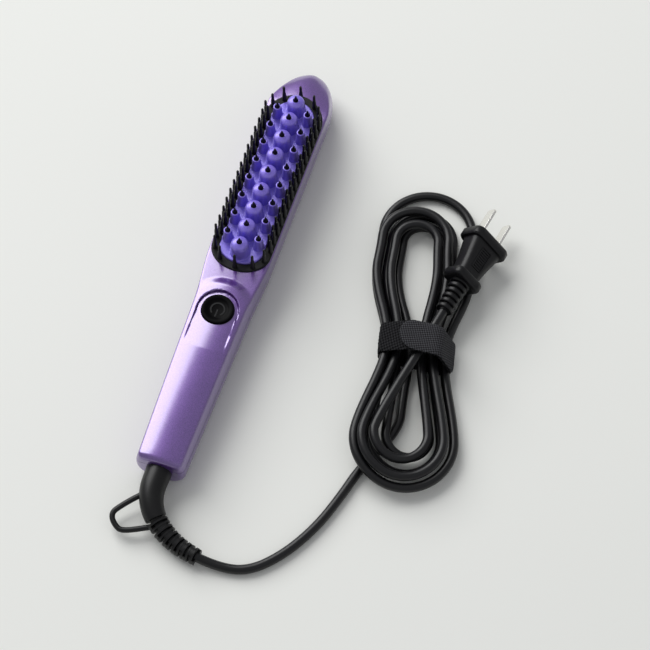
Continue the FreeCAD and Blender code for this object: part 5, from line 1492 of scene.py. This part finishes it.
# Tie
@dataclass
class Strap:
    """Hook-and-loop strap drawn round the hank's waist, its round end laid over the top."""

    corners: tuple[Pair, ...] = ((-15.25, 4.7), (-15.25, 10.3), (-3.05, 18.6), (9.15, 18.6), (15.25, 4.7))
    corner_steps: int = 6
    inner: float = 3.2
    thickness: float = 1.4
    width: float = 17.0
    edge_power: int = 8
    edge_share: float = 0.1
    tab: float = 9.0
    tab_least: float = 0.12
    slant: float = -8.0
    lap_share: float = 1.55
    lap_foot: float = 6.0
    lift: float = 0.5
    fuzz: Pair = (0.4, 0.15)
    fuzz_rate: float = 1.1
    across: int = 16
    step: float = 0.8

    def line(self, reach: float) -> list[Vector]:
        """Closed line round the corners at a distance from them, across the hank, starting at the lower left."""
        places = [Vector((x, 0, z)) for x, z in self.corners]
        runs = [ahead - place for place, ahead in zip(places, places[1:] + places[:1])]
        normals = [Vector((-run.z, 0, run.x)).normalized() for run in runs]
        spots = []
        for index, place in enumerate(places):
            before = normals[index - 1]
            bend = before.angle(normals[index])
            for step in range(self.corner_steps + 1):
                turn = Matrix.Rotation(bend * step / self.corner_steps, 3, "Y")
                spots.append(place + turn @ before * reach)
        return spots

    def band_path(self) -> list[Vector]:
        """Middle of the strap all round, its ends meeting."""
        spots = self.line(self.inner + self.thickness / 2)
        spots.append(spots[0])
        return spots

    def lap_path(self) -> list[Vector]:
        """Middle of the loose end, from its round tip over the top and down the right side."""
        spots = self.line(self.inner + self.thickness * self.lap_share)
        top = max(spot.z for spot in spots)
        after = [spot for spot in spots if spot.x > 0 and spot.z > self.lap_foot]
        return [Vector((-self.tab, 0, top)), Vector((-self.tab / 2, 0, top)), *after]

    def strip(self, path: Sequence[Vector], tongue: bool) -> tuple[list[Vector], Faces, list[Pair]]:
        """A strip of webbing along a path.

        Args:
            path: Middle of the strip, across the hank.
            tongue: Whether the first end is round.

        Returns:
            Its points, its faces and the place of each point along and across it.
        """
        length = length_of(path)
        count = int(length / self.step)
        spots = even_points(path, count)
        points, marks = [], []
        slope = math.tan(math.radians(self.slant))
        for index, spot in enumerate(spots):
            ahead = heading(spots, index).normalized()
            out = Vector((-ahead.z, 0, ahead.x))
            reach = length * index / count
            half = self.width / 2
            raised = 0.0
            if tongue:
                short = max(1 - reach / half, 0.0)
                half *= max(math.sqrt(1 - short * short), self.tab_least)
                raised = self.lift * eased(short)
            for side in (1, -1):
                for step in range(self.across + 1):
                    share = (1 - 2 * step / self.across) * side
                    y = half * share
                    soft = mix(1.0, self.edge_share, abs(share) ** self.edge_power)
                    fuzz = noise.noise(Vector((reach, y, side)) * self.fuzz_rate) * self.fuzz[tongue]
                    height = side * self.thickness / 2 * soft + raised + fuzz
                    points.append(spot + out * height + Vector((0, y + spot.x * slope, 0)))
                    marks.append((reach * MM, y * MM))
        rim = 2 * (self.across + 1)
        rows = [points[start:start + rim] for start in range(0, len(points), rim)]
        return points, skin(rows), marks

    def piece(self, name: str, path: Sequence[Vector], tongue: bool, look: Look,
              place: Matrix) -> bpy.types.Object:
        """One strip with its own UV map in metres, along and across.

        Args:
            name: Name of the piece.
            path: Middle of the strip, across the hank.
            tongue: Whether the first end is round.
            look: Its finish.
            place: The hank's frame.

        Returns:
            The strip.
        """
        points, faces, marks = self.strip(path, tongue)
        mesh = mesh_of(name, [place @ point for point in points], faces)
        chart = mesh.uv_layers.new(name="webbing")
        for loop in mesh.loops:
            chart.data[loop.index].uv = marks[loop.vertex_index]
        return new_piece(name, mesh, look)

    def build(self, place: Matrix) -> list[bpy.types.Object]:
        """Make the band and the loose end over it.

        Args:
            place: The hank's frame.

        Returns:
            The pieces that go with the cord.
        """
        band = self.piece("tie_band", self.band_path(), False, Look.FLEECE, place)
        lap = self.piece("tie_lap", self.lap_path(), True, Look.STRAP, place)
        return [stand_in(band, Body.CORD_SET, "strap", "hank_tie"), stand_in(lap, Body.CORD_SET, "strap")]


# Plug
@dataclass
class Plug:
    """Moulded two-pin plug with a ringed relief, a collar, a flared body and flat blades."""

    roll: float = 41.0
    relief: float = 20.0
    relief_radii: Pair = (4.6, 5.6)
    relief_core: float = 0.66
    relief_steps: int = 8
    rib_form: Ribs = Ribs(fill=0.66, bridge_turn=40.0, turn=0.0)
    ribs: int = 6
    sides: int = 40
    corner: float = 4.0
    corner_steps: int = 6
    sections: tuple[Triple, ...] = (
        (19.2, 16.4, 13.0), (19.8, 18.4, 15.0), (20.5, 19.0, 15.6), (23.3, 19.0, 15.6), (24.0, 18.4, 15.0),
        (24.4, 14.4, 11.6), (28.0, 14.8, 11.9), (33.0, 16.2, 12.4), (38.5, 18.4, 13.0), (44.6, 21.0, 13.8),
        (44.8, 24.0, 16.0), (45.6, 25.0, 17.0), (49.1, 25.0, 17.0), (50.0, 24.0, 16.0))
    patch: Triple = (29.0, 41.5, 6.4)
    ridges: int = 8
    ridge_share: float = 0.74
    ridge_thick: Pair = (0.55, 0.5)
    ridge_form: tuple[Pair, ...] = ((-0.5, 0.1), (-0.25, 1.0), (0.25, 1.0), (0.5, 0.1))
    ridge_rise: float = 0.4
    ridge_sink: float = 0.6
    border: Pair = (0.25, 0.2)
    border_steps: int = 5
    blade_pitch: float = 12.7
    blade: Triple = (6.3, 1.5, 17.0)
    blade_root: float = 3.0
    blade_round: float = 0.25
    blade_end: tuple[Triple, ...] = ((1.6, 1.0, 1.0), (0.7, 0.9, 0.9), (0.2, 0.72, 0.7), (0.0, 0.5, 0.45))
    hole: float = 3.2
    hole_inset: float = 4.65
    hole_sides: int = 32

    def place(self, cord: Cord) -> Matrix:
        """The plug's own frame: Y along its axis, X along its broad side."""
        turn = Matrix.Rotation(math.radians(-cord.plug_heading), 4, "Z")
        turn @= Matrix.Rotation(math.radians(-cord.plug_pitch), 4, "X")
        turn @= Matrix.Rotation(math.radians(self.roll), 4, "Y")
        return cord.frame() @ Matrix.Translation(cord.plug_end) @ turn

    def oblong(self, y: float, width: float, height: float, corner: float) -> list[Vector]:
        """Rounded rectangle square to the axis, anticlockwise seen from the blades."""
        spots = []
        for quarter in range(4):
            side_x = -1 if quarter in (0, 3) else 1
            side_z = 1 if quarter in (0, 1) else -1
            middle = Vector((side_x * (width / 2 - corner), y, side_z * (height / 2 - corner)))
            for turn in arc_steps(quarter * 90, quarter * 90 + 90, self.corner_steps):
                spots.append(middle + Vector((-math.cos(turn), 0, math.sin(turn))) * corner)
        return spots

    def face_height(self, y: float) -> float:
        """Height of the broad face over the axis."""
        for (first, _, low), (last, _, high) in zip(self.sections, self.sections[1:]):
            if first <= y <= last:
                return mix(low, high, (y - first) / (last - first)) / 2
        return self.sections[-1][2] / 2

    def grip(self) -> list[Rows]:
        """Ridges across the broad face inside a thin raised border."""
        near, far, width = self.patch
        slim, edge = self.ridge_thick
        bars = [(mix(near, far, (index + 1) / (self.ridges + 1)), width * self.ridge_share, slim)
                for index in range(self.ridges)]
        groups = []
        for y, wide, thick in [*bars, (near, width, edge), (far, width, edge)]:
            level = self.face_height(y)
            low = level - self.ridge_sink
            rows = []
            for step, tall in self.ridge_form:
                top = level + self.ridge_rise * tall
                rows.append([Vector((x * wide / 2, y + thick * step, z))
                             for x, z in ((1, low), (1, top), (-1, top), (-1, low))])
            groups.append(rows)
        foot, top = self.border
        for side in (-1, 1):
            rows = []
            for step in range(self.border_steps + 1):
                y = mix(near, far, step / self.border_steps)
                rows.append([Vector((x - side * width / 2, y, self.face_height(y) + z)) for x, z in (
                    (foot, -self.ridge_sink), (top, self.ridge_rise), (-top, self.ridge_rise),
                    (-foot, -self.ridge_sink))])
            groups.append(rows)
        return groups

    def body(self, place: Matrix) -> bpy.types.Object:
        """Body with its collar, flange and grip, and the core of the relief."""
        shell = [self.oblong(y, width, height, self.corner) for y, width, height in self.sections]
        first, last = (radius * self.relief_core for radius in self.relief_radii)
        core = [round_row(ALONG * y, ALONG, radius, self.sides) for y, radius in ((0.0, first), (self.relief, last))]
        groups = [moved(rows, place) for rows in (shell, core, *self.grip())]
        return new_piece("plug_shell", lofted("plug_shell", *groups), Look.PLUG_RUBBER)

    def blades(self, place: Matrix) -> bpy.types.Object:
        """Two flat blades with rounded ends and a hole in each."""
        wide, thick, long = self.blade
        start = self.sections[-1][0]
        stations = [(start - self.blade_root, 1.0, 1.0),
                    *((start + long - inset, share, thin) for inset, share, thin in self.blade_end)]
        groups, holes = [], []
        for side in (-1, 1):
            beside = Vector((side * self.blade_pitch / 2, 0, 0))
            blade = [[spot + beside for spot in self.oblong(y, thick * thin, wide * share, self.blade_round * thin)]
                     for y, share, thin in stations]
            middle = beside + ALONG * (start + long - self.hole_inset)
            bore = [round_row(middle + Vector((reach, 0, 0)), Vector((1, 0, 0)), self.hole / 2, self.hole_sides)
                    for reach in (-thick, thick)]
            groups.append(moved(blade, place))
            holes.append(moved(bore, place))
        piece = new_piece("plug_pins", lofted("plug_pins", *groups), Look.NICKEL)
        return carved(piece, lofted("pin_holes", *holes))

    def build(self, cord: Cord) -> list[bpy.types.Object]:
        """Make the plug.

        Args:
            cord: The cord that the plug ends.

        Returns:
            The pieces that go with the cord.
        """
        place = self.place(cord)
        line = [place @ (ALONG * (self.relief * step / self.relief_steps)) for step in range(self.relief_steps + 1)]
        ribs = self.rib_form.along("plug_relief", line, self.ribs, *self.relief_radii, Look.PLUG_RUBBER)
        return [stand_in(self.body(place), Body.CORD_SET, "plug_rubber", "plug_body"),
                stand_in(ribs, Body.CORD_SET, "plug_rubber"),
                stand_in(self.blades(place), Body.CORD_SET, "nickel", "plug_blades")]


# Stage
@dataclass(frozen=True)
class Lamp:
    """A soft square lamp: its place and size in millimetres, and its power in watts."""

    name: str
    spot: Triple
    size: float
    power: float


@dataclass
class Studio:
    """Floor, soft lamps and the camera at the photograph's viewing angle."""

    look_at: Triple = (52.3, -13.2, 0.0)
    azimuth: float = 18.5
    elevation: float = 63.0
    distance: float = 1408.0
    field_of_view: float = 14.0
    sensor: float = 36.0
    floor_half: float = 4000.0
    floor_colour: Colour = srgb(238, 239, 234)
    floor_fade: float = 0.97
    floor_grain: float = 400.0
    floor_roughness: float = 0.9
    sky: Colour = (0.95, 0.96, 1.0, 1.0)
    sky_strength: float = 0.4
    lamps: tuple[Lamp, ...] = (Lamp("key", (-1870.0, 1360.0, 2020.0), 2600.0, 94.0),
                               Lamp("fill", (900.0, -600.0, 1300.0), 1400.0, 0.8))

    def aimed(self, name: str, data: bpy.types.ID, spot: Vector) -> bpy.types.Object:
        """Camera or lamp at a place, aimed at the brush."""
        thing = linked(name, data)
        thing.location = spot * MM
        thing.rotation_mode = "QUATERNION"
        thing.rotation_quaternion = (Vector(self.look_at) - spot).to_track_quat("-Z", "Y")
        return thing

    def camera(self) -> None:
        """Camera that looks down at the brush from its right front."""
        turn = math.radians(self.azimuth)
        tilt = math.radians(self.elevation)
        back = Vector((math.sin(turn) * math.cos(tilt), -math.cos(turn) * math.cos(tilt), math.sin(tilt)))
        data = bpy.data.cameras.new("camera")
        data.sensor_width = self.sensor
        data.lens = self.sensor / 2 / math.tan(math.radians(self.field_of_view / 2))
        bpy.context.scene.camera = self.aimed("camera", data, Vector(self.look_at) + back * self.distance)

    def light(self, lamp: Lamp) -> None:
        """Soft square lamp aimed at the brush."""
        data = bpy.data.lights.new(lamp.name, "AREA")
        data.size = lamp.size * MM
        data.energy = lamp.power
        self.aimed(lamp.name, data, Vector(lamp.spot))

    def floor(self) -> None:
        """Pale plain floor."""
        half = self.floor_half
        corners = [Vector((x * half, y * half, 0)) for x, y in ((-1, -1), (1, -1), (1, 1), (-1, 1))]
        mesh = mesh_of("floor", corners, [(0, 1, 2, 3)])
        graph = Graph("floor_paper")
        deeper = (*(level * self.floor_fade for level in self.floor_colour[:3]), 1.0)
        tone = graph.noise(graph.place(), self.floor_grain * MM)
        graph.put(Base_Color=graph.blend(tone, self.floor_colour, deeper), Roughness=self.floor_roughness)
        mesh.materials.append(graph.material)
        linked("floor", mesh)

    def world(self) -> None:
        """Even pale surroundings."""
        world = bpy.data.worlds.new("world")
        world.use_nodes = True
        backdrop = world.node_tree.nodes["Background"]
        backdrop.inputs["Color"].default_value = self.sky
        backdrop.inputs["Strength"].default_value = self.sky_strength
        bpy.context.scene.world = world

    def build(self) -> None:
        """Set up the whole stage."""
        bpy.context.scene.view_settings.view_transform = "Standard"
        self.camera()
        self.floor()
        self.world()
        for lamp in self.lamps:
            self.light(lamp)


def dress_nodes() -> None:
    """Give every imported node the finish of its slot."""
    for part in frame["record"]["subparts"]:
        wear(frame["nodes"][part["node"]], Look[part["material_slot"].upper()])


def main() -> None:
    """Build the stage, the cord and then the other pieces."""
    logging.basicConfig(level=logging.INFO, format="%(name)s %(message)s")
    Studio().build()
    dress_nodes()
    boot = CordBoot()
    cord = Cord()
    line = cord.build(boot)
    fittings = boot.build()
    fittings += Strap().build(cord.frame())
    fittings += Plug().build(cord)
    head = Head()
    head.build()
    Casing().build(head)
    PowerButton().build()


if __name__ == "__main__":
    main()
